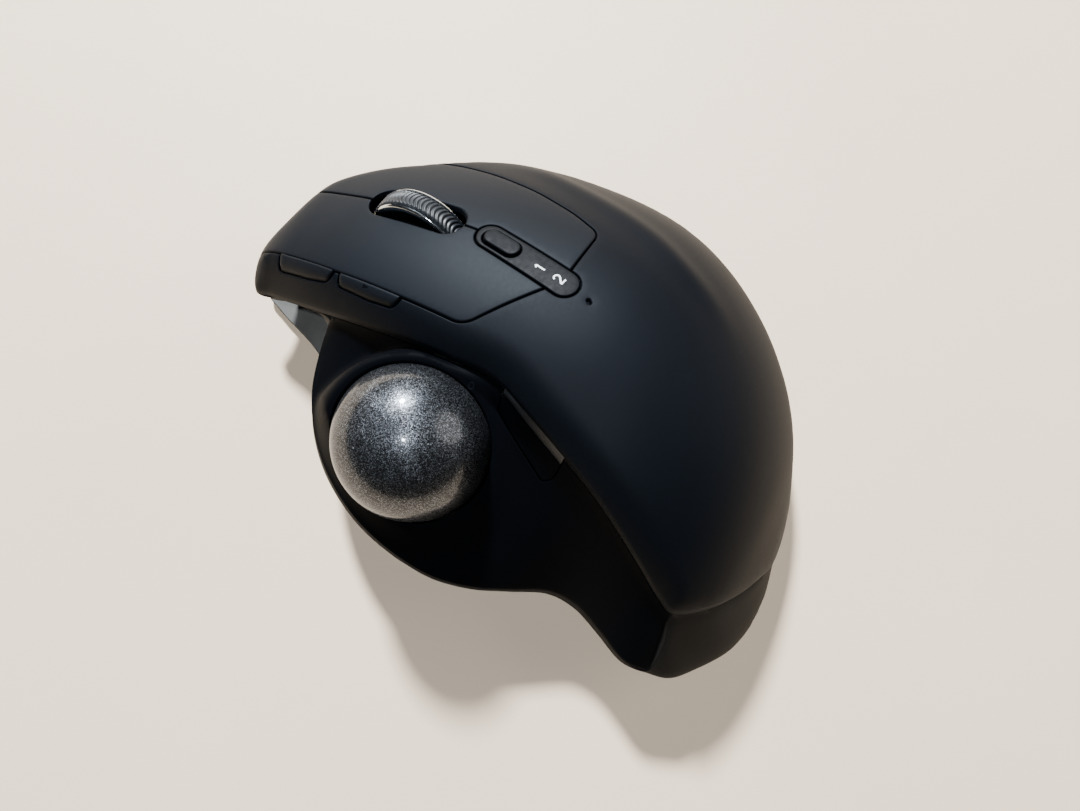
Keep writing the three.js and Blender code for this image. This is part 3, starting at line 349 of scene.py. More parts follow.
ROW_CLEAR = 0.93  # share of its distance that a row of points keeps from every edge
GRID_CLEAR = 0.45  # share of the spacing between the last row and the grid
EDGE_ROWS = (0.05, 0.18, 0.4, 0.7, 1.0)  # where rows lie across a rounded edge


def sheet(loops, spacing, rings, step):
    """Plan points and triangles of an area, with rows of points just inside its edges."""
    loops = [divided(loop, step) for loop in loops]
    every = np.concatenate(loops)
    low, high = every.min(axis=0), every.max(axis=0)

    def in_area(p):
        odd = np.zeros(len(p), bool)
        for loop in loops:
            odd ^= inside(loop, p)
        return odd

    def clearance(p):
        return np.min([nearest(loop, p)[0] for loop in loops], axis=0)

    extra = []
    for distance in rings:
        for loop in loops:
            row = grown(loop, -distance)
            extra.append(row[clearance(row) > ROW_CLEAR * distance])
    xs = np.arange(low[0], high[0], spacing)
    ys = np.arange(low[1], high[1], spacing * math.sqrt(3) / 2)
    gx, gy = np.meshgrid(xs, ys)
    gx[1::2] += spacing / 2
    grid = np.stack([gx.ravel(), gy.ravel()], axis=1)
    grid = grid[in_area(grid)]
    extra.append(grid[clearance(grid) > rings[-1] + GRID_CLEAR * spacing])
    extra = np.concatenate(extra)
    extra = extra[in_area(extra)]
    verts, faces = triangulate(np.concatenate([every, extra]), loop_edges(loops))
    faces = faces[in_area(verts[faces].mean(axis=1))]
    used = np.unique(faces)
    verts, faces = verts[used], np.searchsorted(used, faces)
    return verts, faces, clearance(verts)


def slab(loops, top, bottom, spacing=1.2, round_edge=0.35, step=0.6, more_rings=()):
    """Closed solid over a plan area: top(xy) with a rounded edge, bottom(xy), upright sides."""
    rings = [round_edge * share for share in EDGE_ROWS] + list(more_rings)
    xy, faces, clear = sheet(loops, spacing, rings, step)
    near = np.clip(round_edge - clear, 0, round_edge)
    fall = round_edge - np.sqrt(np.maximum(round_edge**2 - near**2, 0))
    high = np.column_stack([xy, top(xy) - fall])
    low = np.column_stack([xy, bottom(xy)])
    count = len(xy)
    made = [tuple(f) for f in faces.tolist()]
    made += [(c + count, b + count, a + count) for a, b, c in faces.tolist()]
    for loop in boundary_of(faces):
        for a, b in zip(loop, loop[1:] + loop[:1]):
            made.append((b, a, a + count, b + count))
    return np.concatenate([high, low]), made


def loft(rings, capped=False, closed=False):
    """Quads between rings of equal count, with both ends capped or the last joined to the first."""
    total, count = len(rings), len(rings[0])
    faces = []
    for r in range(total if closed else total - 1):
        low, high = r * count, (r + 1) % total * count
        for i in range(count):
            j = (i + 1) % count
            faces.append((low + i, low + j, high + j, high + i))
    if capped:
        faces.append(tuple(range(count))[::-1])
        faces.append(tuple(range((total - 1) * count, total * count)))
    return np.concatenate(rings), faces


def joined(*solids):
    """Several solids as one list of vertices and faces."""
    verts, faces, start = [], [], 0
    for v, f in solids:
        verts.append(np.asarray(v))
        faces.extend(tuple(k + start for k in face) for face in f)
        start += len(v)
    return np.concatenate(verts), faces


# ---- the palm and key surface ----
# [y, height of the crest, x of the crest, cross-section radius]
SPINE = [
    [-74, 0, -2, 46], [-67, 11.5, -1, 46], [-62, 19.5, 0, 47], [-55, 29.5, 1.5, 48],
    [-46, 38.5, 3.5, 49], [-36, 45, 6, 50], [-24, 49.4, 8.5, 52], [-12, 50.8, 10.5, 53],
    [0, 50, 11.3, 54], [15, 47.2, 11.6, 54], [28, 44, 11.6, 53], [40, 40, 11.6, 52],
    [51, 35.3, 11.6, 51], [60, 30.5, 11.6, 50], [66, 26.8, 11.6, 50], [71, 22, 11.6, 50],
    [76, 16.5, 11.6, 50],
]
# [x, y, drop of the rolled edge, its width, skirt], clockwise from the front left corner
DOME_EDGE = [
    [-11.4, 69.2, 6.0, 5, 1.7], [-5.6, 70.9, 1.2, 2, 2.6], [4, 69.2, 1.0, 2, 3],
    [13.7, 66.8, 1.0, 2, 3], [18.9, 62.6, 1.0, 2, 3], [23.4, 57.0, 1.0, 2, 3],
    [28.2, 49.4, 1.2, 2, 3], [34, 43.6, 2.5, 3, 4], [41.4, 36.6, 3.5, 4, 4.5],
    [47.4, 28.4, 4, 5, 4], [51.8, 18.4, 3.6, 5, 2.4], [53.8, 8, 3.4, 5, 2], [53.8, -3, 3.6, 5, 2.2],
    [51.8, -12, 4, 5, 2.5], [48, -21, 4, 5, 2.5], [42.2, -32, 4, 5, 2.5], [35.2, -43, 3.5, 5, 2.5],
    [25.8, -53.4, 2.5, 4, 2.5], [15.5, -60.4, 1.5, 3, 2.2], [6.5, -64.4, 0.8, 1.5, 2],
    [-3.5, -66.2, 0.6, 1, 1.7], [-11, -63.6, 0.5, 1, 1.7], [-18, -60, 0.5, 1, 1.7],
    [-24.4, -55.4, 0.6, 1, 1.7], [-29.6, -49.4, 1.5, 2, 1.7], [-29.2, -44.6, 3, 4, 1.7],
    [-27, -36.6, 3, 5, 1.7], [-23.1, -24, 3, 5, 1.7], [-19.6, -12.6, 3, 5, 1.7],
    [-16.9, -4, 3, 5, 1.7], [-14.5, 3.2, 3, 5, 1.7], [-13.6, 9, 3, 5, 1.7], [-13.8, 16, 3, 5, 1.7],
    [-13.8, 25, 3.5, 5, 1.7], [-13.7, 35, 4.5, 5, 1.7], [-13.2, 46, 6, 5, 1.7],
    [-12.6, 55, 7, 5, 1.7], [-11.8, 64, 7.6, 5, 1.7],
]
EDGE_LINE = curve_through(DOME_EDGE, count=420)
EDGE_PLAN = EDGE_LINE[:, :2][::-1].copy()  # anticlockwise


DOME_REACH = 0.94  # share of a cross-section's radius where its arc stops falling


def dome_height(xy):
    x, y = xy[:, 0], xy[:, 1]
    radius = along(SPINE, y, 3)
    across = np.minimum(np.abs(x - along(SPINE, y, 2)), DOME_REACH * radius)
    return along(SPINE, y, 1) - radius + np.sqrt(radius**2 - across**2)


# Soft ridge down the right flank of the palm, which fades out towards both ends.
RIDGE_POINTS = [(38.6, 33), (39.3, 24), (36, 10.7), (31, -5), (26, -16), (21.7, -26), (17, -34)]
RIDGE = curve_through(RIDGE_POINTS, count=120, closed=False)
RIDGE_RISE, RIDGE_HALF = 0.8, 3.0
RIDGE_FRONT, FRONT_FADE = 36, 16
RIDGE_REAR, REAR_FADE = -36, 24


def edge_values(xy):
    """Distance from the dome's edge, and the drop, width and skirt there."""
    distance, k, t = nearest(EDGE_LINE[:, :2], xy)
    after = (k + 1) % len(EDGE_LINE)
    values = EDGE_LINE[k, 2:] + t[:, None] * (EDGE_LINE[after, 2:] - EDGE_LINE[k, 2:])
    return distance, *values.T


def top_height(xy):
    """The palm and key surface: the dome, its ridge and its rolled edge."""
    distance, drop, width, _ = edge_values(xy)
    away = nearest(RIDGE, xy, closed=False)[0]
    y = xy[:, 1]
    ends = smooth((RIDGE_FRONT - y) / FRONT_FADE) * smooth((y - RIDGE_REAR) / REAR_FADE)
    ridge = RIDGE_RISE * ends * np.exp(-((away / RIDGE_HALF) ** 2))
    return dome_height(xy) + ridge - drop * np.maximum(1 - distance / width, 0) ** 2


def shell_bottom(xy):
    """Underside of the shell: one wall down, and down to the skirt's foot along the edge."""
    distance, _, _, skirt = edge_values(xy)
    near = np.maximum(1 - distance / WALL, 0)
    return top_height(xy) - WALL - np.maximum(skirt - WALL, 0) * np.minimum(near * 2, 1)


def skirt_bottom(xy):
    """The skirt's foot, for points on the dome's edge."""
    _, drop, _, skirt = edge_values(xy)
    return dome_height(xy) - drop - skirt


# Both keys together: (x, y, corner radius), anticlockwise.
KEY_FIELD = rounded(
    [
        (-5.9, 80, 0), (-6.6, 66, 0), (-7.9, 48, 40), (-8.6, 31, 40), (-9.0, 16.6, 4.5),
        (-2, 11.4, 40), (5, 6, 8), (9, 4.2, 0), (18.6, 3.9, 20), (22.9, 3.8, 4.5), (26.1, 11, 30),
        (29, 21.5, 40), (30.2, 31.6, 40), (30.2, 39, 40), (29, 47, 40), (27, 53, 0), (34, 60, 0),
        (24, 80, 0),
    ]
)
FORWARD_BUTTON = rounded(
    [(-7.1, 63.4, 0.3), (-9.3, 62.4, 1.6), (-9.9, 54.0, 30), (-9.9, 48.6, 1.4), (-8.15, 48.1, 0.3)]
)
BACK_BUTTON = rounded(
    [(-8.3, 46.5, 0.3), (-10.1, 45.6, 1.6), (-10.8, 37.5, 30), (-10.75, 31.6, 1.4), (-8.9, 31.0, 0.3)]
)
BACK_MARK = rounded([(-9.9, 39.9, 0.05), (-9.5, 38.4, 0.05), (-9.05, 39.9, 0.05)])
STRIP = capsule(STRIP_REAR, STRIP_FRONT, STRIP_R)
STRIP_HOLE = capsule(STRIP_REAR, STRIP_FRONT, STRIP_R + GAP)
MODE = capsule(MODE_REAR, MODE_FRONT, MODE_R)
MODE_HOLE = capsule(MODE_REAR, MODE_FRONT, MODE_R + GAP)
LIGHT = capsule(LIGHT_REAR, LIGHT_FRONT, LIGHT_R)
LIGHT_HOLE = capsule(LIGHT_REAR, LIGHT_FRONT, LIGHT_R + LIGHT_GAP)
SLOT = capsule(SLOT_REAR, SLOT_FRONT, SLOT_HALF)


def key_half(side):
    """Plan area on one side of the seam, which runs down the mode strip's middle."""
    rear, front, beside = -20, 90, 60 * side  # past every edge of the keys
    seam = SEAM_X + side * GAP / 2
    path = [(STRIP_REAR[0], rear), STRIP_REAR, STRIP_FRONT, (seam, STRIP_FRONT[1] + 1)]
    return np.array(path + [(seam, front), (beside, front), (beside, rear)])


def key_solid(side):
    loops = region([EDGE_PLAN, KEY_FIELD, key_half(side)], [SLOT, STRIP_HOLE])
    return slab([max(loops, key=len)], top_height, shell_bottom)


def cover_solid():
    buttons = [grown(FORWARD_BUTTON, GAP), grown(BACK_BUTTON, GAP)]
    loops = region([EDGE_PLAN], [grown(KEY_FIELD, GAP), STRIP_HOLE, LIGHT_HOLE, *buttons])
    return slab(loops, top_height, shell_bottom, spacing=1.5)


def raised(height, lift):
    """The same surface, moved up by lift."""
    return lambda xy: height(xy) + lift


def plate_on_dome(outline, lift, depth, round_edge, hole=None):
    """A small piece that follows the palm surface, raised by lift."""
    loops = [outline] if hole is None else [outline, hole[::-1]]
    top, bottom = raised(top_height, lift), raised(top_height, lift - depth)
    return slab(loops, top, bottom, spacing=0.6, round_edge=round_edge, step=0.35)


# ---- thumb panel ----
# [crease x, crease y, lower x, lower y, lower z, share of the fall taken at the crease]
THUMB = [
    [-13.2, 45.6, -12.6, 46.9, 20, 0.2], [-13.5, 40, -19.5, 45.2, 15.5, 0.2],
    [-13.9, 33, -26.4, 42.2, 12.5, 0.25], [-14.1, 26, -33.2, 36.8, 10.2, 0.3],
    [-14.1, 20, -39.4, 28.8, 8.6, 0.3], [-14.1, 14, -44.0, 18.6, 7.6, 0.25],
    [-13.9, 9, -46.0, 8, 7.2, 0.22], [-14.8, 3.2, -45.9, -2, 7, 0.2],
    [-17.2, -4, -43.4, -10.6, 7, 0.2], [-19.9, -12.6, -39.4, -18.2, 7.2, 0.15],
    [-22.6, -21, -35.4, -25.6, 8, 0.1], [-25.4, -30, -35.0, -32.6, 8.4, 0.05],
    [-28.0, -38.6, -37.2, -39.6, 8, 0.05], [-29.6, -45, -39.6, -46.4, 7.4, 0.05],
    [-29.6, -48.6, -38.8, -52.0, 7, 0.05],
]
THUMB_ROWS = curve_through(THUMB, count=700, closed=False)
_, edge_at, edge_share = nearest(EDGE_PLAN, THUMB_ROWS[:, :2])
edge_next = EDGE_PLAN[(edge_at + 1) % len(EDGE_PLAN)]
THUMB_ROWS[:, :2] = EDGE_PLAN[edge_at] + edge_share[:, None] * (edge_next - EDGE_PLAN[edge_at])
CREST = THUMB_ROWS[:, :2]
RING_AT = BALL_AT + BALL_AXIS * RING_UP


def opening_height(xy):
    """The plane of the ball's opening."""
    return RING_AT[2] - (xy - RING_AT[:2]) @ BALL_AXIS[:2] / BALL_AXIS[2]


def off_axis(points):
    """Distance of points from the line through the ball along its opening."""
    off = points - BALL_AT
    return np.linalg.norm(off - np.outer(off @ BALL_AXIS, BALL_AXIS), axis=1)


ROW_START, ROW_END = -0.3, 1.3  # how far past its ends a row still counts, as a share of its length


def thumb_row_of(xy):
    """The THUMB row whose straight plan line passes through each point, and the share along it."""
    c, low = THUMB_ROWS[:, :2], THUMB_ROWS[:, 2:4]
    d = low - c
    row = np.zeros(len(xy))
    for start in range(0, len(xy), CHUNK):
        part = slice(start, start + CHUNK)
        p = xy[part]
        rel = p[:, None] - c
        side = d[:, 0] * rel[..., 1] - d[:, 1] * rel[..., 0]
        along_row = np.sum(rel * d, axis=2) / np.sum(d * d, axis=1)
        near = (along_row > ROW_START) & (along_row < ROW_END)
        flips = (side[:, :-1] * side[:, 1:] <= 0) & near[:, :-1]
        k = np.where(flips.any(axis=1), flips.argmax(axis=1), np.abs(side).argmin(axis=1))
        k = np.minimum(k, len(c) - 2)
        rows = np.arange(len(p))
        a, b = side[rows, k], side[rows, k + 1]
        row[part] = k + np.clip(a / np.where(a == b, 1, a - b), 0, 1)
    k = np.minimum(row.astype(int), len(c) - 2)
    t = (row - k)[:, None]
    values = THUMB_ROWS[k] * (1 - t) + THUMB_ROWS[k + 1] * t
    d = values[:, 2:4] - values[:, :2]
    share = np.sum((xy - values[:, :2]) * d, axis=1) / np.maximum(np.sum(d * d, axis=1), 1e-9)
    return values, np.clip(share, 0, 1)


SEAM_DROP = 0.1  # from the skirt's foot to the panel
CREASE_TURN = 0.06  # share of a row over which the fall at the crease is taken
COLLAR, COLLAR_LEVEL = 9.0, 0.1  # width round the ball's opening, and the share of it that stays level
RIM_INSET = 0.1
LOWER_FADE, CREASE_FADE = 7, 12  # the collar ends within 1/7 and 1/12 of a row from its two ends


def thumb_height(xy):
    """The thumb wall, blended into the level collar round the ball."""
    row, u = thumb_row_of(xy)
    high = skirt_bottom(row[:, :2]) - SEAM_DROP
    fall = row[:, 5] * (1 - np.exp(-u / CREASE_TURN)) + (1 - row[:, 5]) * u
    z = high + (row[:, 4] - high) * np.minimum(fall, 1)
    ring = opening_height(xy)
    outside = (off_axis(np.column_stack([xy, ring])) - RING_R + RIM_INSET) / COLLAR
    collar = (1 - smooth(outside - COLLAR_LEVEL)) * smooth((1 - u) * LOWER_FADE)
    rim = high + (ring - high) * smooth(u * CREASE_FADE)
    return z + (rim - z) * collar


THROAT_REACH = np.arange(8, 20, 0.04)[:, None]  # from the opening's middle, past its edge


def throat_outline(steps=180):
    """Where the ball's opening meets the thumb surface, in plan."""
    out = []
    for direction in directions(full_turn(steps)):
        xy = RING_AT[:2] + THROAT_REACH * direction
        far = off_axis(np.column_stack([xy, thumb_height(xy)]))
        out.append(xy[min(np.searchsorted(far > RING_R, True), len(xy) - 1)])
    return anticlockwise(np.array(out))


def thumb_outline():
    """Down the crease and back along the panel's lower edge, with every fourth row."""
    rows = THUMB_ROWS[::4]
    return anticlockwise(np.concatenate([rows[:, :2], rows[::-1, 2:4]])[::-1])


PRECISION_CORNERS = [(-13.8, 3.2, 0), (-16.7, 2.5, 0.8), (-20.5, -7.2, 40)]
PRECISION_CORNERS += [(-22.7, -12.4, 1.0), (-22.0, -14.0, 0.8), (-19.2, -14.0, 0)]
PRECISION_BUTTON = anticlockwise(rounded(PRECISION_CORNERS))
FACE_SUNK = 0.3
LEDGE_HALF, LEDGE_RISE, LEDGE_SLOPE = 0.32, 0.9, 0.45
MARK_AT, MARK_OUTER, MARK_INNER, MARK_DEEP = (-16.1, 9.4), 0.6, 0.42, 0.1
PRINT_RISE = 0.03


def ring_mark():
    """Small printed ring between the ball and the crease."""
    loops = [circle(*MARK_AT, MARK_OUTER), circle(*MARK_AT, MARK_INNER)[::-1]]
    top, bottom = raised(thumb_height, PRINT_RISE), raised(thumb_height, -MARK_DEEP)
    return slab(loops, top, bottom, spacing=0.3, round_edge=0.02, step=0.2)


def thumb_solid():
    loops = region([thumb_outline()], [throat_outline(), grown(PRECISION_BUTTON, PANEL_GAP)])
    loops = [loop for loop in loops if len(loop) > 20]  # without the slivers at the crease
    shape = {"spacing": 0.9, "round_edge": 0.22, "step": 0.45, "more_rings": (0.5, 0.9, 1.3)}
    return slab(loops, thumb_height, raised(thumb_height, -WALL), **shape)


def precision_solid(ledge):
    """The button's sunken face, or the narrow ledge along its upper edge."""
    within = [thumb_outline(), PRECISION_BUTTON]
    if ledge:
        left, right = sides_of(CREST, LEDGE_HALF)
        within.append(anticlockwise(np.concatenate([left, right[::-1]])))

    def top(xy):
        if not ledge:
            return thumb_height(xy) - FACE_SUNK
        return thumb_height(xy) + LEDGE_RISE - LEDGE_SLOPE * nearest(CREST, xy, closed=False)[0]

    shape = {"spacing": 0.3, "round_edge": 0.15, "step": 0.3}
    return slab([max(region(within), key=len)], top, raised(thumb_height, -WALL), **shape)


# ---- bottom chassis ----
WIDE_UNDER_DOME = [
    [-4.9, 65.4, 8], [-2.2, 68.4, 8], [4, 68.2, 9], [13.2, 65.8, 11], [18.4, 61.8, 12],
    [22.9, 56.4, 13], [27.7, 49, 15], [33.6, 43.2, 17], [41, 36.3, 18.6], [47, 28.2, 19.6],
    [51.4, 18.2, 20.9], [53.4, 8, 21.6], [53.4, -3, 21.8], [51.4, -12, 21.4], [47.6, -21, 20],
    [41.8, -32, 18], [34.8, -43, 14.8], [25.6, -53.2, 10.6], [15.6, -61.2, 8], [7, -65.6, 7],
    [-2.4, -67.7, 6.8], [-10, -68.8, 6.6], [-17.5, -68.4, 6.4], [-25.2, -66, 6.4],
    [-32.4, -61, 6.2],
]
REAR_LEFT = [[-37.2, -57, 6, -34.6, -51.6, 13.2]]
NOSE_LEFT = [[-4.4, 54.0, 7.5, -12.6, 53], [-4.6, 60.0, 7.5, -11.6, 60.4]]
THUMB_WIDE, THUMB_WIDE_Z = 0.2, 5.4
OVERHANG, OVERHUNG_ROWS = 0.3, 19  # the dome stands out over the chassis at the nose and the right
KEYS_FROM = (-6, 49)  # the keys come down over the chassis in front and to the right of here
LIP = 1.0  # stands up inside the seam and narrows the gap under the palm shell
LIP_OUT, LIP_IN, LIP_FOOT = WALL + 0.12, WALL + 0.8, 0.2
FOOT_IN, TURN_IN = 3.5, 1.2  # from the widest line in to the foot and to the turn above it
TURN_LOW = 0.55  # share of the turn's height that comes from the foot
RIM_ROUND = 0.4
STEP_IN, STEP_UP, STEP_UNDER, FLOOR_IN = WALL + 0.6, 0.6, 0.3, 4.6
WALL_STEPS = 6
SCREW_HOLE_R, LUG_ROOM, LUG_END_ROOM = 2.5, 1, 0.8
POWER_WIDE, POWER_LONG, POWER_ROUND = 7.6, 4.2, 0.8


def facet_height(x):
    return HINGE_Z + np.maximum(x - HINGE_X, 0) * math.tan(TILT)


def tray_rows():
    """[wide x, y, z, top x, y, z, share of the lip] round the chassis, clockwise."""
    rows = []
    for i, wide in enumerate(WIDE_UNDER_DOME):
        x, y = DOME_EDGE[i][:2]
        pull = OVERHANG / math.hypot(x - HINGE_X, y) if i < OVERHUNG_ROWS else 0
        room = KEY_TRAVEL if x > KEYS_FROM[0] and y > KEYS_FROM[1] else 0
        top = skirt_bottom(np.array([[x, y]]))[0] - GAP - room
        rows.append([*wide, HINGE_X + (x - HINGE_X) * (1 - pull), y * (1 - pull), top, 1])
    rows += [row + [0] for row in REAR_LEFT]
    for _, _, x, y, z, _ in reversed(THUMB):
        rows.append([x - THUMB_WIDE, y, THUMB_WIDE_Z, x, y, z - GAP, 0])
    for row in NOSE_LEFT:
        rows.append([*row, skirt_bottom(np.array([row[3:]]))[0] - GAP, 1])
    return rows


def chassis_solid():
    line = curve_through(tray_rows(), count=420)
    wide, top, lip = line[:, :3], line[:, 3:6], np.clip(line[:, 6], 0, 1) * LIP

    def ring(outline, inwards, height):
        """The outline drawn in towards the hinge line's middle, at the height that height(x) gives."""
        x, y = outline[:, 0] - HINGE_X, outline[:, 1]
        length = np.hypot(x, y)
        share = (length - inwards) / length
        x = HINGE_X + x * share
        return np.column_stack([x, y * share, height(x)])

    def turn_height(x):
        return facet_height(x) * TURN_LOW + wide[:, 2] * (1 - TURN_LOW)

    def above_top(rise):
        return lambda x: top[:, 2] + rise

    control = [ring(wide, FOOT_IN, facet_height), ring(wide, TURN_IN, turn_height), wide, top]
    outer = []
    for k in range(3):
        knots = [control[max(min(at, 3), 0)] for at in (k - 1, k, k + 1, k + 2)]
        outer += [between(*knots, t) for t in np.arange(WALL_STEPS) / WALL_STEPS]
    rim = []
    for angle in np.radians([0, 22, 45, 68, 90]):
        fall = above_top(-RIM_ROUND * (1 - math.sin(angle)))
        rim.append(ring(top, RIM_ROUND * (1 - math.cos(angle)), fall))
    inner = [
        ring(top, LIP_OUT, above_top(0)),
        ring(top, LIP_OUT, above_top(lip)),
        ring(top, LIP_IN, above_top(lip)),
        ring(top, LIP_IN, above_top(-LIP_FOOT)),
        ring(wide, STEP_IN, lambda x: np.minimum(wide[:, 2] + STEP_UP, top[:, 2] - STEP_UNDER)),
        ring(wide, FLOOR_IN, lambda x: facet_height(x) + WALL),
    ]
    holes = [circle(*BALL_AT[:2], EJECT_R)]
    holes += [circle(x, y, SCREW_HOLE_R, 24) for x, y in SCREWS]
    holes += [rectangle(HINGE_X, y, 2 * LUG_R + LUG_ROOM, LUG_LONG + LUG_END_ROOM) for y in LUGS]
    power = rectangle(*POWER_AT, POWER_WIDE, POWER_LONG)
    holes.append(rounded([(*corner, POWER_ROUND) for corner in power]))
    return joined(loft(outer + rim + inner), floor_sheet(control[0], inner[-1], holes))


def floor_sheet(foot, inner, holes):
    """Underside facets and the floor above them, with the holes that go through both."""
    holes = [anticlockwise(hole)[::-1] for hole in holes]

    def at_floor(xy, rise):
        return np.column_stack([xy, facet_height(xy[:, 0]) + rise])

    parts = []
    for rim, rise, up in ((foot, 0, False), (inner, WALL, True)):
        outline = anticlockwise(rim[:, :2])
        loops = [outline, *holes]
        points = np.concatenate(loops)
        fold = [(HINGE_X, outline[:, 1].min()), (HINGE_X, outline[:, 1].max())]
        edges = loop_edges(loops) + [(len(points), len(points) + 1)]
        xy, made = triangulate(np.concatenate([points, fold]), edges)
        made = made[covered(xy[made].mean(axis=1), [outline], holes)]
        parts.append((at_floor(xy, rise), made if up else made[:, ::-1]))
    return joined(*parts, *[loft([at_floor(hole, 0), at_floor(hole, WALL)]) for hole in holes])


# ---- ball, wheel and plate ----
def ball_solid(around=160, tall=80):
    """Sphere about the level ball centre, its poles across the opening."""
    rings = []
    z, x = directions(full_turn(around)).T
    for polar in math.pi * np.arange(1, tall) / tall:
        radius = BALL_R * math.sin(polar)
        y = np.full(around, -BALL_R * math.cos(polar))
        rings.append(BALL_AT + np.column_stack([radius * x, y, radius * z]))
    verts, faces = loft(rings)
    poles = [BALL_AT + [0, -BALL_R, 0], BALL_AT + [0, BALL_R, 0]]
    start = len(verts)
    for i in range(around):
        j = (i + 1) % around
        faces.append((start, j, i))
        faces.append((start + 1, start - around + i, start - around + j))
    return np.concatenate([verts, poles]), faces


def about_axle(x, radius, around):
    """Solid of revolution: places along the wheel's axle, and their radii at each angle."""
    rings = []
    for angle in full_turn(around):
        r = radius(angle)
        rings.append(WHEEL_AT + np.column_stack([x, r * math.cos(angle), r * math.sin(angle)]))
    return loft(rings, closed=True)


RIBS, RIB_HIGH, RIB_BOW, RIB_CREST = 72, 0.34, 0.1, 0.7
TREAD_LOW = 0.36  # from the wheel's radius to the grooves
SHOULDER, SHOULDER_FROM = 0.5, 0.82  # fall at the tyre's edges, and where across it that starts
RIB_END = 0.9  # the ribs lose half their height from here on


def tyre_solid(around=RIBS * 8, across=22):
    """Rubber tyre with fine curved ribs, each a shallow arc across the tread."""
    share = np.linspace(-1, 1, across)
    edge = np.abs(share)
    shoulder = SHOULDER * np.clip((edge - SHOULDER_FROM) / (1 - SHOULDER_FROM), 0, 1) ** 2
    ends = 1 - 0.5 * np.clip((edge - RIB_END) / (1 - RIB_END), 0, 1)

    def radius(angle):
        rib = 0.5 + 0.5 * np.cos(RIBS * (angle + RIB_BOW * (1 - share**2)))
        tread = WHEEL_R - TREAD_LOW - shoulder + RIB_HIGH * rib**RIB_CREST * ends
        return np.append(tread, [TYRE_INNER, TYRE_INNER])

    return about_axle(np.append(share, [1, -1]) * TYRE_HALF, radius, around)


RIM_GAP, RIM_LOW, RIM_LIP = 0.3, 0.4, 0.55


def rim_solid(side, around=144):
    """Plated ring with a rounded lip beside the tyre."""
    near, far = TYRE_HALF + RIM_GAP, RIM_OUT
    high, low = WHEEL_R - RIM_LOW, RIM_INNER
    profile = [(near, low), (near, high - 0.25), (near + 0.1, high - 0.07)]
    for x, y in directions(np.radians(np.linspace(80, 0, 7))):
        profile.append((far - RIM_LIP * (1 - x), high - RIM_LIP * (1 - y)))
    profile += [(far, high - 1.2), (far - 0.25, high - 1.9), (far - 0.3, low + 0.4), (far - 0.3, low)]
    x, radius = np.array(profile).T
    return about_axle(side * x, lambda angle: radius, around)


PLATE_POINTS = [
    (-5.2, 72.2), (-8.6, 66.4), (-12.2, 54), (-18, 44), (-26, 35), (-33, 24), (-36.6, 12),
    (-36.6, 0), (-33, -12), (-28, -22), (-26.6, -34), (-29, -46), (-28, -55), (-21, -62.4),
    (-10, -65.6), (4, -63.6), (20, -55.6), (36, -41), (47, -24), (52.6, -4), (51, 16),
    (43, 33), (31, 49), (19, 61), (6, 69.6),
]
PLATE_LINE = curve_through(PLATE_POINTS, count=300)
PLATE_BEVEL = 0.25
MAT_INSET, MAT_BEVEL = 0.8, 0.2
LUG_FOOT, LUG_RISE = 0.4, 0.2  # a lug's depth in the plate, and its ring's middle above the fold
PIN_GAP = 0.3


def prism(outline, low, high, bevel):
    """Upright solid with both edges bevelled, drawn on the desk rather than on the level housing."""
    loop = anticlockwise(outline)
    rings = []
    for inwards, z in ((bevel, low), (0, low + bevel), (0, high - bevel), (bevel, high)):
        rings.append(np.column_stack([grown(loop, -inwards), np.full(len(loop), z)]))
    return loft(rings, capped=True)


def lug_solid(y, around=36):
    """Hinge lug on the plate: a ring about the pin with its foot in the plate."""
    hole = PIN_R + PIN_GAP
    outer, inner = [], []
    for z, x in directions(full_turn(around)):
        lug_z = max(HINGE_Z + LUG_RISE + LUG_R * z, PLATE_TOP - LUG_FOOT)
        outer.append((HINGE_X + LUG_R * x, lug_z))
        inner.append((HINGE_X + hole * x, HINGE[2] + hole * z))
    rings = []
    for loop, end in ((inner, -1), (outer, -1), (outer, 1), (inner, 1)):
        rings.append(np.array([(x, y + end * LUG_LONG / 2, z) for x, z in loop]))
    return loft(rings, closed=True)


# ---- materials ----
def fill(node, values):
    """Set a shader node's sockets, whose names have _ for a space."""
    for key, value in values.items():
        node.inputs[key.replace("_", " ")].default_value = value


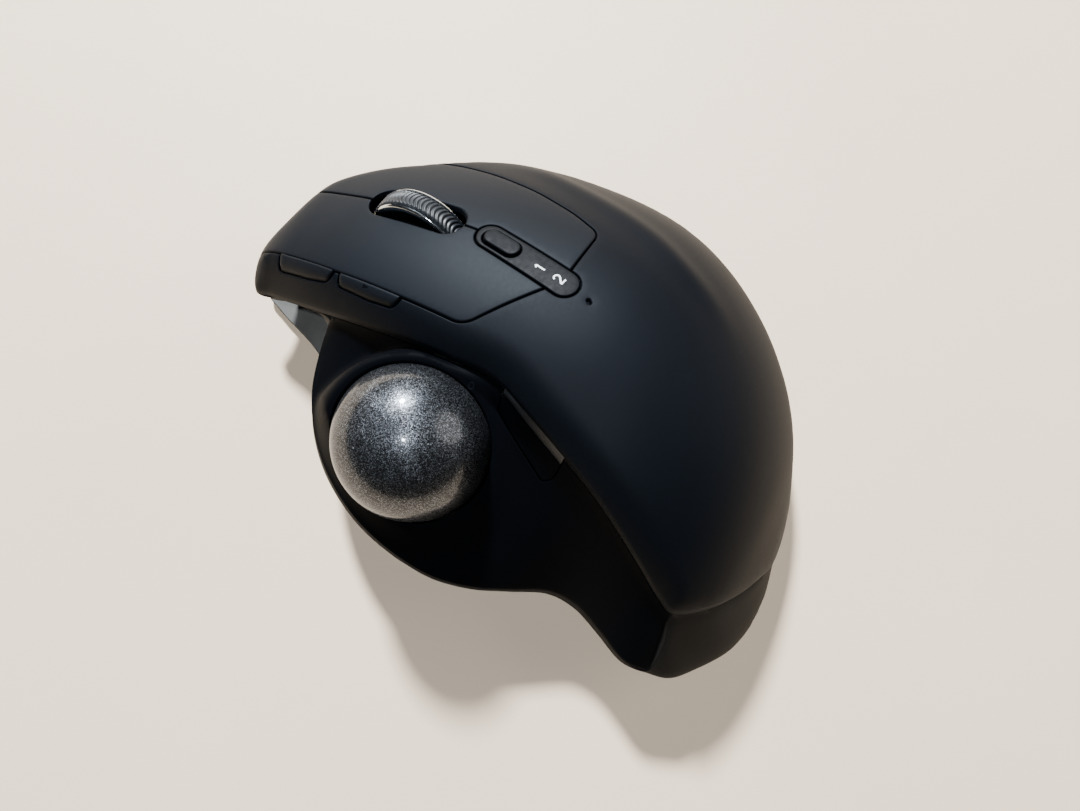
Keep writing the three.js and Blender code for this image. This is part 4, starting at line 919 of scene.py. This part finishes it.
class Nodes:
    """A node material being built: short calls for the nodes that every finish uses."""

    def __init__(self, name):
        self.material = bpy.data.materials.new(name)
        self.material.use_nodes = True
        self.tree = self.material.node_tree
        self.shader = self.tree.nodes["Principled BSDF"]
        self.place = self.tree.nodes.new("ShaderNodeTexCoord").outputs["Object"]

    def set(self, **values):
        fill(self.shader, values)

    def add(self, kind, source, socket, **values):
        node = self.tree.nodes.new(f"ShaderNode{kind}")
        fill(node, values)
        self.tree.links.new(source, node.inputs[socket])
        return node

    def link(self, output, socket):
        self.tree.links.new(output, self.shader.inputs[socket])

    def noise(self, size_mm, detail, roughness=0.5, stretch=(1, 1, 1)):
        place = self.add("Mapping", self.place, "Vector", Scale=stretch).outputs[0]
        scale = 1 / (size_mm * MM)
        node = self.add("TexNoise", place, "Vector", Scale=scale, Detail=detail, Roughness=roughness)
        return node.outputs["Fac"]

    def cells(self, size_mm, output="Color"):
        return self.add("TexVoronoi", self.place, "Vector", Scale=1 / (size_mm * MM)).outputs[output]

    def ramp(self, source, *stops):
        node = self.add("ValToRGB", source, "Fac")
        ramp = node.color_ramp
        while len(ramp.elements) < len(stops):
            ramp.elements.new(0.5)
        for element, (at, colour) in zip(ramp.elements, stops):
            element.position = at
            element.color = (*colour, 1)
        self.link(node.outputs["Color"], "Base Color")

    def mottle(self, source, colour, dark, light):
        self.ramp(source, (0.3, shade(colour, dark)), (0.7, shade(colour, light)))

    def rough(self, source, low, high, start=0.3, end=0.7):
        span = {"From_Min": start, "From_Max": end, "To_Min": low, "To_Max": high}
        self.link(self.add("MapRange", source, "Value", **span).outputs["Result"], "Roughness")

    def bump(self, source, height_mm, under=None):
        """Relief of this height on the surface, and on top of the relief under it."""
        node = self.add("Bump", source, "Height", Distance=height_mm * MM)
        if under is not None:
            self.tree.links.new(under, node.inputs["Normal"])
        self.link(node.outputs["Normal"], "Normal")
        return node.outputs["Normal"]


def shade(colour, factor):
    return tuple(min(c * factor, 1.0) for c in colour)


def moulded(name, colour, roughness, grain_mm=0.3, grain_height=0.012, specular=0.5, tint=(1, 1, 1)):
    """Plastic with a spark-eroded grain and faint mottling."""
    n = Nodes(name)
    n.mottle(n.noise(1.2, 4), colour, 0.95, 1.05)
    n.rough(n.noise(0.8, 4), roughness - 0.012, roughness + 0.012)
    coarse = n.bump(n.noise(grain_mm, 3), grain_height)
    n.bump(n.noise(grain_mm * 0.3, 2), grain_height * 0.35, under=coarse)
    n.set(Specular_IOR_Level=specular, Specular_Tint=(*tint, 1))
    return n.material


def pearl_ball(name):
    """Clear-coated resin full of fine metal flakes that lean every way."""
    n = Nodes(name)
    flake = n.cells(0.13)
    dark, mid, glint = (0.018, 0.019, 0.021), (0.05, 0.053, 0.059), (0.34, 0.37, 0.42)
    n.ramp(flake, (0.25, dark), (0.65, mid), (0.95, glint))
    n.rough(flake, 0.24, 0.36, 0, 1)
    n.bump(flake, 0.016)
    n.set(Metallic=0.9, Specular_Tint=(0.3, 0.32, 0.36, 1))
    n.set(Coat_Weight=0.55, Coat_Roughness=0.04, Coat_IOR=1.4)
    return n.material


def plated(name, colour, roughness):
    n = Nodes(name)
    streak = n.noise(0.5, 3, stretch=(1, 6, 6))
    n.mottle(n.noise(3, 3), colour, 0.92, 1)
    n.rough(streak, roughness * 0.7, roughness * 1.4)
    n.bump(streak, 0.002)
    n.set(Metallic=1.0)
    return n.material


def brushed(name, colour, roughness):
    n = Nodes(name)
    streak = n.noise(2.5, 4, 0.6, stretch=(1, 24, 24))
    n.mottle(streak, colour, 0.86, 1.12)
    n.rough(n.noise(6, 3), roughness - 0.06, roughness + 0.06)
    n.bump(streak, 0.01)
    n.set(Metallic=0.9)
    return n.material


def rubber(name, colour, roughness=0.8):
    n = Nodes(name)
    n.mottle(n.noise(1.5, 4), colour, 0.8, 1.2)
    n.rough(n.noise(3, 2), roughness - 0.08, roughness + 0.05)
    n.bump(n.noise(0.18, 3), 0.02)
    n.set(Specular_IOR_Level=0.35)
    return n.material


def glossy(name, colour, roughness, specular=0.5):
    n = Nodes(name)
    n.mottle(n.noise(5, 3), colour, 0.92, 1.08)
    n.rough(n.noise(1.2, 5), roughness - 0.04, roughness + 0.06)
    n.bump(n.noise(0.6, 2), 0.0015)
    n.set(Specular_IOR_Level=specular)
    return n.material


def clear(name):
    n = Nodes(name)
    n.rough(n.noise(1.5, 3), 0.04, 0.12)
    n.bump(n.noise(0.8, 2), 0.002)
    n.set(Base_Color=(0.82, 0.88, 0.9, 1), Transmission_Weight=0.9, IOR=1.49)
    return n.material


def solder_mask(name, colour):
    """Circuit board: lacquer over irregular raised patches of copper."""
    n = Nodes(name)
    copper = n.cells(1.6, "Distance")
    n.ramp(copper, (0.35, colour), (0.5, shade(colour, 1.7)))
    n.rough(n.noise(2, 3), 0.3, 0.42)
    n.bump(copper, 0.02)
    return n.material


COOL = (0.85, 0.915, 1.0)
# name: the function that makes it, colour, roughness and what else it takes
RECIPES = {
    "soft_black": (moulded, (0.0019, 0.0027, 0.0044), 0.54, 0.22, 0.005, 0.075, COOL),
    # key_black is lighter than soft_black as painted light: the extra lightness paints the light that falls on the
    # keys.
    "key_black": (moulded, (0.003, 0.0041, 0.0062), 0.54, 0.22, 0.005, 0.1, COOL),
    # panel_black is painted shade: it is darkened well below soft_black so the thumb wall, which faces away from
    # the lamps, is as black as it looks in shadow.
    "panel_black": (moulded, (0.0003, 0.0006, 0.0014), 0.68, 0.22, 0.006, 0.05, COOL),
    "shell_black": (moulded, (0.0052, 0.0051, 0.0051), 0.65, 0.35, 0.014, 0.14),
    "gloss_black": (glossy, (0.002, 0.0026, 0.004), 0.5, 0.07),
    # The ledge's lighter grey is a painted highlight along the precision button's upper edge, where the light
    # catches it.
    "ledge_grey": (glossy, (0.012, 0.014, 0.017), 0.45),
    "ball_pearl": (pearl_ball,),
    "plate_steel": (brushed, (0.1, 0.099, 0.096), 0.6),
    "pin_steel": (brushed, (0.45, 0.45, 0.46), 0.3),
    "magnet": (plated, (0.6, 0.6, 0.62), 0.22),
    "rim_chrome": (plated, (0.62, 0.66, 0.7), 0.16),
    "mat_rubber": (rubber, (0.018, 0.018, 0.019)),
    "tyre_rubber": (rubber, (0.0095, 0.0118, 0.0155), 0.45),
    "inner_plastic": (moulded, (0.006, 0.006, 0.0065), 0.6, 0.4, 0.01, 0.3),
    "switch_case": (moulded, (0.012, 0.012, 0.013), 0.45, 0.3, 0.006),
    "ceramic": (glossy, (0.7, 0.66, 0.6), 0.2),
    "clear_plastic": (clear,),
    "light_white": (glossy, (0.01, 0.011, 0.012), 0.3),
    "circuit_board": (solder_mask, (0.012, 0.09, 0.035)),
    "battery_foil": (brushed, (0.4, 0.41, 0.42), 0.5),
    "port_steel": (brushed, (0.5, 0.5, 0.5), 0.35),
    "print_white": (glossy, (0.75, 0.77, 0.8), 0.5),
}
FINISHES = {name: make(name, *values) for name, (make, *values) in RECIPES.items()}

SLOT_OF = {part["node"]: part["material_slot"] for part in frame["record"]["subparts"]}
BODIES = frame["record"]["behaviour"]["bodies"]
BODY_OF = {node: body for body, nodes in BODIES.items() for node in nodes}


# ---- pieces ----
def placed(name, data):
    """A new object in the scene."""
    made = bpy.data.objects.new(name, data)
    bpy.context.scene.collection.objects.link(made)
    return made


def new_mesh(name, points, faces):
    mesh = bpy.data.meshes.new(name)
    mesh.from_pydata([tuple(p) for p in points], [], faces)
    mesh.validate()
    return mesh


def add_piece(name, solid, finish, body, node=None, slot=None, level=True, sharp=38, weld=False, less=None):
    """A piece, drawn level or on the desk. Edges over sharp degrees stay sharp, and less is cut out."""
    verts, faces = solid
    points = to_rest(verts) if level else np.asarray(verts) * MM
    mesh = new_mesh(name, np.clip(points, *cad_box), faces)
    piece = placed(name, mesh)
    if weld:
        weld_mesh(mesh)
    if less:
        mesh = piece.data = cut(piece, less)
    mesh.polygons.foreach_set("use_smooth", [True] * len(mesh.polygons))
    mesh.set_sharp_from_angle(angle=math.radians(sharp))
    mesh.materials.append(FINISHES[finish])
    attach(piece, body)
    if node:
        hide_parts(node)
    return piece


def cut(piece, solid):
    """The piece's mesh with a closed level-frame solid taken out of it."""
    verts, faces = solid
    cutter = placed("cutter", new_mesh("cutter", to_rest(verts), faces))
    modifier = piece.modifiers.new("cut", "BOOLEAN")
    modifier.operation, modifier.solver, modifier.object = "DIFFERENCE", "EXACT", cutter
    bpy.context.view_layer.update()
    graph = bpy.context.evaluated_depsgraph_get()
    made = bpy.data.meshes.new_from_object(piece.evaluated_get(graph))
    made.name = piece.name
    piece.modifiers.clear()
    bpy.data.objects.remove(cutter)
    return made


PORT_X, PORT_Z, PORT_WIDE, PORT_TALL = 13.2, 14.4, 8.2, 3.6
PORT_REAR, PORT_FRONT = 58, 70


def port_opening():
    """Slot through the nose in front of the charging port."""
    half = (PORT_WIDE - PORT_TALL) / 2
    outline = capsule((PORT_X - half, 0), (PORT_X + half, 0), PORT_TALL / 2)
    verts, faces = prism(outline, PORT_REAR, PORT_FRONT, bevel=0.01)
    turned_up = np.column_stack([verts[:, 0], verts[:, 2], PORT_Z + verts[:, 1]])
    return turned_up, [tuple(face)[::-1] for face in faces]


WELD = 2e-6  # metres


def weld_mesh(mesh):
    """Merge doubled points and turn the faces outwards."""
    made = bmesh.new()
    made.from_mesh(mesh)
    bmesh.ops.remove_doubles(made, verts=made.verts, dist=WELD)
    bmesh.ops.recalc_face_normals(made, faces=made.faces)
    made.to_mesh(mesh)
    made.free()


def replace_node(node, solid, **options):
    return add_piece(f"{node}_fine", solid, SLOT_OF[node], BODY_OF[node], node=node, **options)


STRIP_LIFT = 0.05
DIGIT_SIZE, STROKE, PRINT_DEEP = 2.3, 0.34, 0.2


def stroke(path):
    """A printed line on the mode strip, as a thin raised ribbon."""
    left, right = sides_of(path, STROKE / 2)
    rows = []
    for plan, rise in ((left, PRINT_RISE), (right, PRINT_RISE), (right, -PRINT_DEEP), (left, -PRINT_DEEP)):
        rows.append(np.column_stack([plan, top_height(plan) + STRIP_LIFT + rise]))
    return loft(np.stack(rows, axis=1), capped=True)


STRIP_UP = np.subtract(STRIP_FRONT, STRIP_REAR) / math.dist(STRIP_FRONT, STRIP_REAR)
STRIP_AXES = np.array([(STRIP_UP[1], -STRIP_UP[0]), STRIP_UP])


def glyph(strokes, at):
    """Strokes of a unit cell, placed on the mode strip with their top towards the keys' fronts."""
    return joined(*[stroke(np.array(points) * DIGIT_SIZE @ STRIP_AXES + at) for points in strokes])


ONE = [[(-0.22, 0.28), (0.0, 0.5), (0.0, 0.5001), (0.0, -0.5)]]  # the doubled point keeps a sharp corner
TWO_BOWL = [0, 0.22] + 0.27 * directions(np.radians(np.linspace(165, -40, 14)))
TWO = [[*TWO_BOWL, (-0.28, -0.46)], [(-0.3, -0.5), (0.32, -0.5)]]
ONE_AT, TWO_AT = (8.1, 9.6), (7.3, 5.0)

SIDE_LIFT = 0.72
LIGHT_SUNK = 0.7
# [outline, lift above the palm surface, depth, rounding of the edge, hole]
ON_DOME = {
    "forward_button": [FORWARD_BUTTON, SIDE_LIFT, 3.4, 0.6],
    "back_button": [BACK_BUTTON, SIDE_LIFT, 3.4, 0.6],
    "mode_strip": [STRIP, STRIP_LIFT, 2, 0.25, MODE_HOLE],
    "mode_button": [MODE, 0.7, 3.4, 0.35],
}


def build():
    replace_node("top_cover", cover_solid())
    replace_node("left_key", key_solid(-1))
    replace_node("right_key", key_solid(1))
    for node, shape in ON_DOME.items():
        replace_node(node, plate_on_dome(*shape))
    lens = plate_on_dome(LIGHT, -LIGHT_SUNK, depth=1, round_edge=0.1)
    add_piece("battery_light_fine", lens, "panel_black", "housing", node="battery_light")
    replace_node("thumb_panel", thumb_solid())
    add_piece("panel_mark", ring_mark(), "key_black", "housing", slot="gloss_black")
    face, ledge = precision_solid(False), precision_solid(True)
    on_button = {"body": "precision_button", "slot": "gloss_black"}
    # The button's sunken face takes panel_black's painted shade in place of its own gloss_black.
    add_piece("precision_button_fine", face, "panel_black", node="precision_button", **on_button)
    # The ledge's finish is a lighter copy of the button's black: a painted highlight on its upper edge.
    add_piece("precision_ledge", ledge, "ledge_grey", **on_button)
    replace_node("bottom_chassis", chassis_solid(), weld=True, less=port_opening())
    replace_node("trackball", ball_solid(), sharp=180)
    replace_node("wheel_tyre", tyre_solid(), sharp=70)
    replace_node("wheel_rim_left", rim_solid(-1), weld=True)
    replace_node("wheel_rim_right", rim_solid(1), weld=True)
    plate = prism(PLATE_LINE, PLATE_LOW, PLATE_TOP, PLATE_BEVEL)
    replace_node("base_plate", joined(plate, *[lug_solid(y) for y in LUGS]), level=False, weld=True)
    mat = prism(grown(anticlockwise(PLATE_LINE), -MAT_INSET), 0, MAT_TOP, MAT_BEVEL)
    replace_node("base_mat", mat, level=False, weld=True)
    digits = joined(glyph(ONE, ONE_AT), glyph(TWO, TWO_AT))
    add_piece("channel_digits", digits, "print_white", "housing", slot="gloss_black")
    mark = plate_on_dome(BACK_MARK, SIDE_LIFT + 0.02, depth=0.3, round_edge=0.02)
    add_piece("back_mark", mark, "panel_black", "back_button", slot="gloss_black")


def finish_nodes():
    """Every CAD node that still shows gets the finish of its slot."""
    for name, node in frame["nodes"].items():
        if node.hide_render or node.type != "MESH":
            continue
        node.data.materials.clear()
        node.data.materials.append(FINISHES[SLOT_OF[name]])


# ---- stage ----
# The camera looks almost straight down, and the picture's upward edge lies along HEADING.
HEADING = math.radians(31)
PITCH = math.radians(8.6)
PICTURE_RIGHT = Vector((math.sin(HEADING), -math.cos(HEADING), 0))
PICTURE_UP = Vector((math.cos(HEADING), math.sin(HEADING), 0))
CAMERA_AT = Vector((-0.02084, -0.01677, 0.19829))
LENS, SENSOR, CLIP_START = 26.67, 36, 0.005

FLOOR_WIDE = 4
FLOOR_COLOUR = (0.86, 0.68, 0.5)
WORLD_COLOUR, WORLD_STRENGTH = (0.9, 0.94, 1.0, 1), 0.02
LIT_AT = Vector((0, 0, 0.02))
COOL_LIGHT, WARM_LIGHT = (0.92, 0.965, 1.0), (1.0, 0.97, 0.93)
# [name, (right, up, high) in metres from LIT_AT, diameter, watts, colour]
LIGHTS = [
    ["ceiling_far", (-0.2, 0.95, 0.85), 0.14, 66, COOL_LIGHT],
    ["ceiling_near", (-0.1, -0.12, 1.15), 0.08, 7, COOL_LIGHT],
    ["window", (1.0, 0.25, 0.6), 0.9, 5, WARM_LIGHT],
]


def area_light(name, away, size, watts, colour):
    data = bpy.data.lights.new(name, "AREA")
    data.shape = "DISK"
    data.size = size
    data.energy = watts
    data.color = colour
    right, up, high = away
    lamp = placed(name, data)
    lamp.location = LIT_AT + (PICTURE_RIGHT * right + PICTURE_UP * up + Vector((0, 0, high)))
    lamp.rotation_mode = "QUATERNION"
    lamp.rotation_quaternion = (LIT_AT - lamp.location).to_track_quat("-Z", "Y")


def stage():
    corners = [(*corner, 0) for corner in rectangle(0, 0, FLOOR_WIDE, FLOOR_WIDE)]
    floor = new_mesh("floor", corners, [(0, 1, 2, 3)])
    n = Nodes("floor")
    n.mottle(n.noise(60, 4), FLOOR_COLOUR, 0.98, 1.02)
    n.set(Roughness=0.55)
    floor.materials.append(n.material)
    ground = placed("floor", floor)

    world = bpy.data.worlds.new("studio")
    world.use_nodes = True
    fill(world.node_tree.nodes["Background"], {"Color": WORLD_COLOUR, "Strength": WORLD_STRENGTH})
    bpy.context.scene.world = world
    for light in LIGHTS:
        area_light(*light)

    camera = placed("camera", bpy.data.cameras.new("camera"))
    back = Vector((0, 0, math.cos(PITCH))) - PICTURE_UP * math.sin(PITCH)
    above = back.cross(PICTURE_RIGHT)
    camera.rotation_mode = "QUATERNION"
    camera.rotation_quaternion = Matrix((PICTURE_RIGHT, above, back)).transposed().to_quaternion()
    camera.location = CAMERA_AT
    camera.data.lens = LENS
    camera.data.sensor_width = SENSOR
    camera.data.clip_start = CLIP_START
    bpy.context.scene.camera = camera


build()
finish_nodes()
stage()
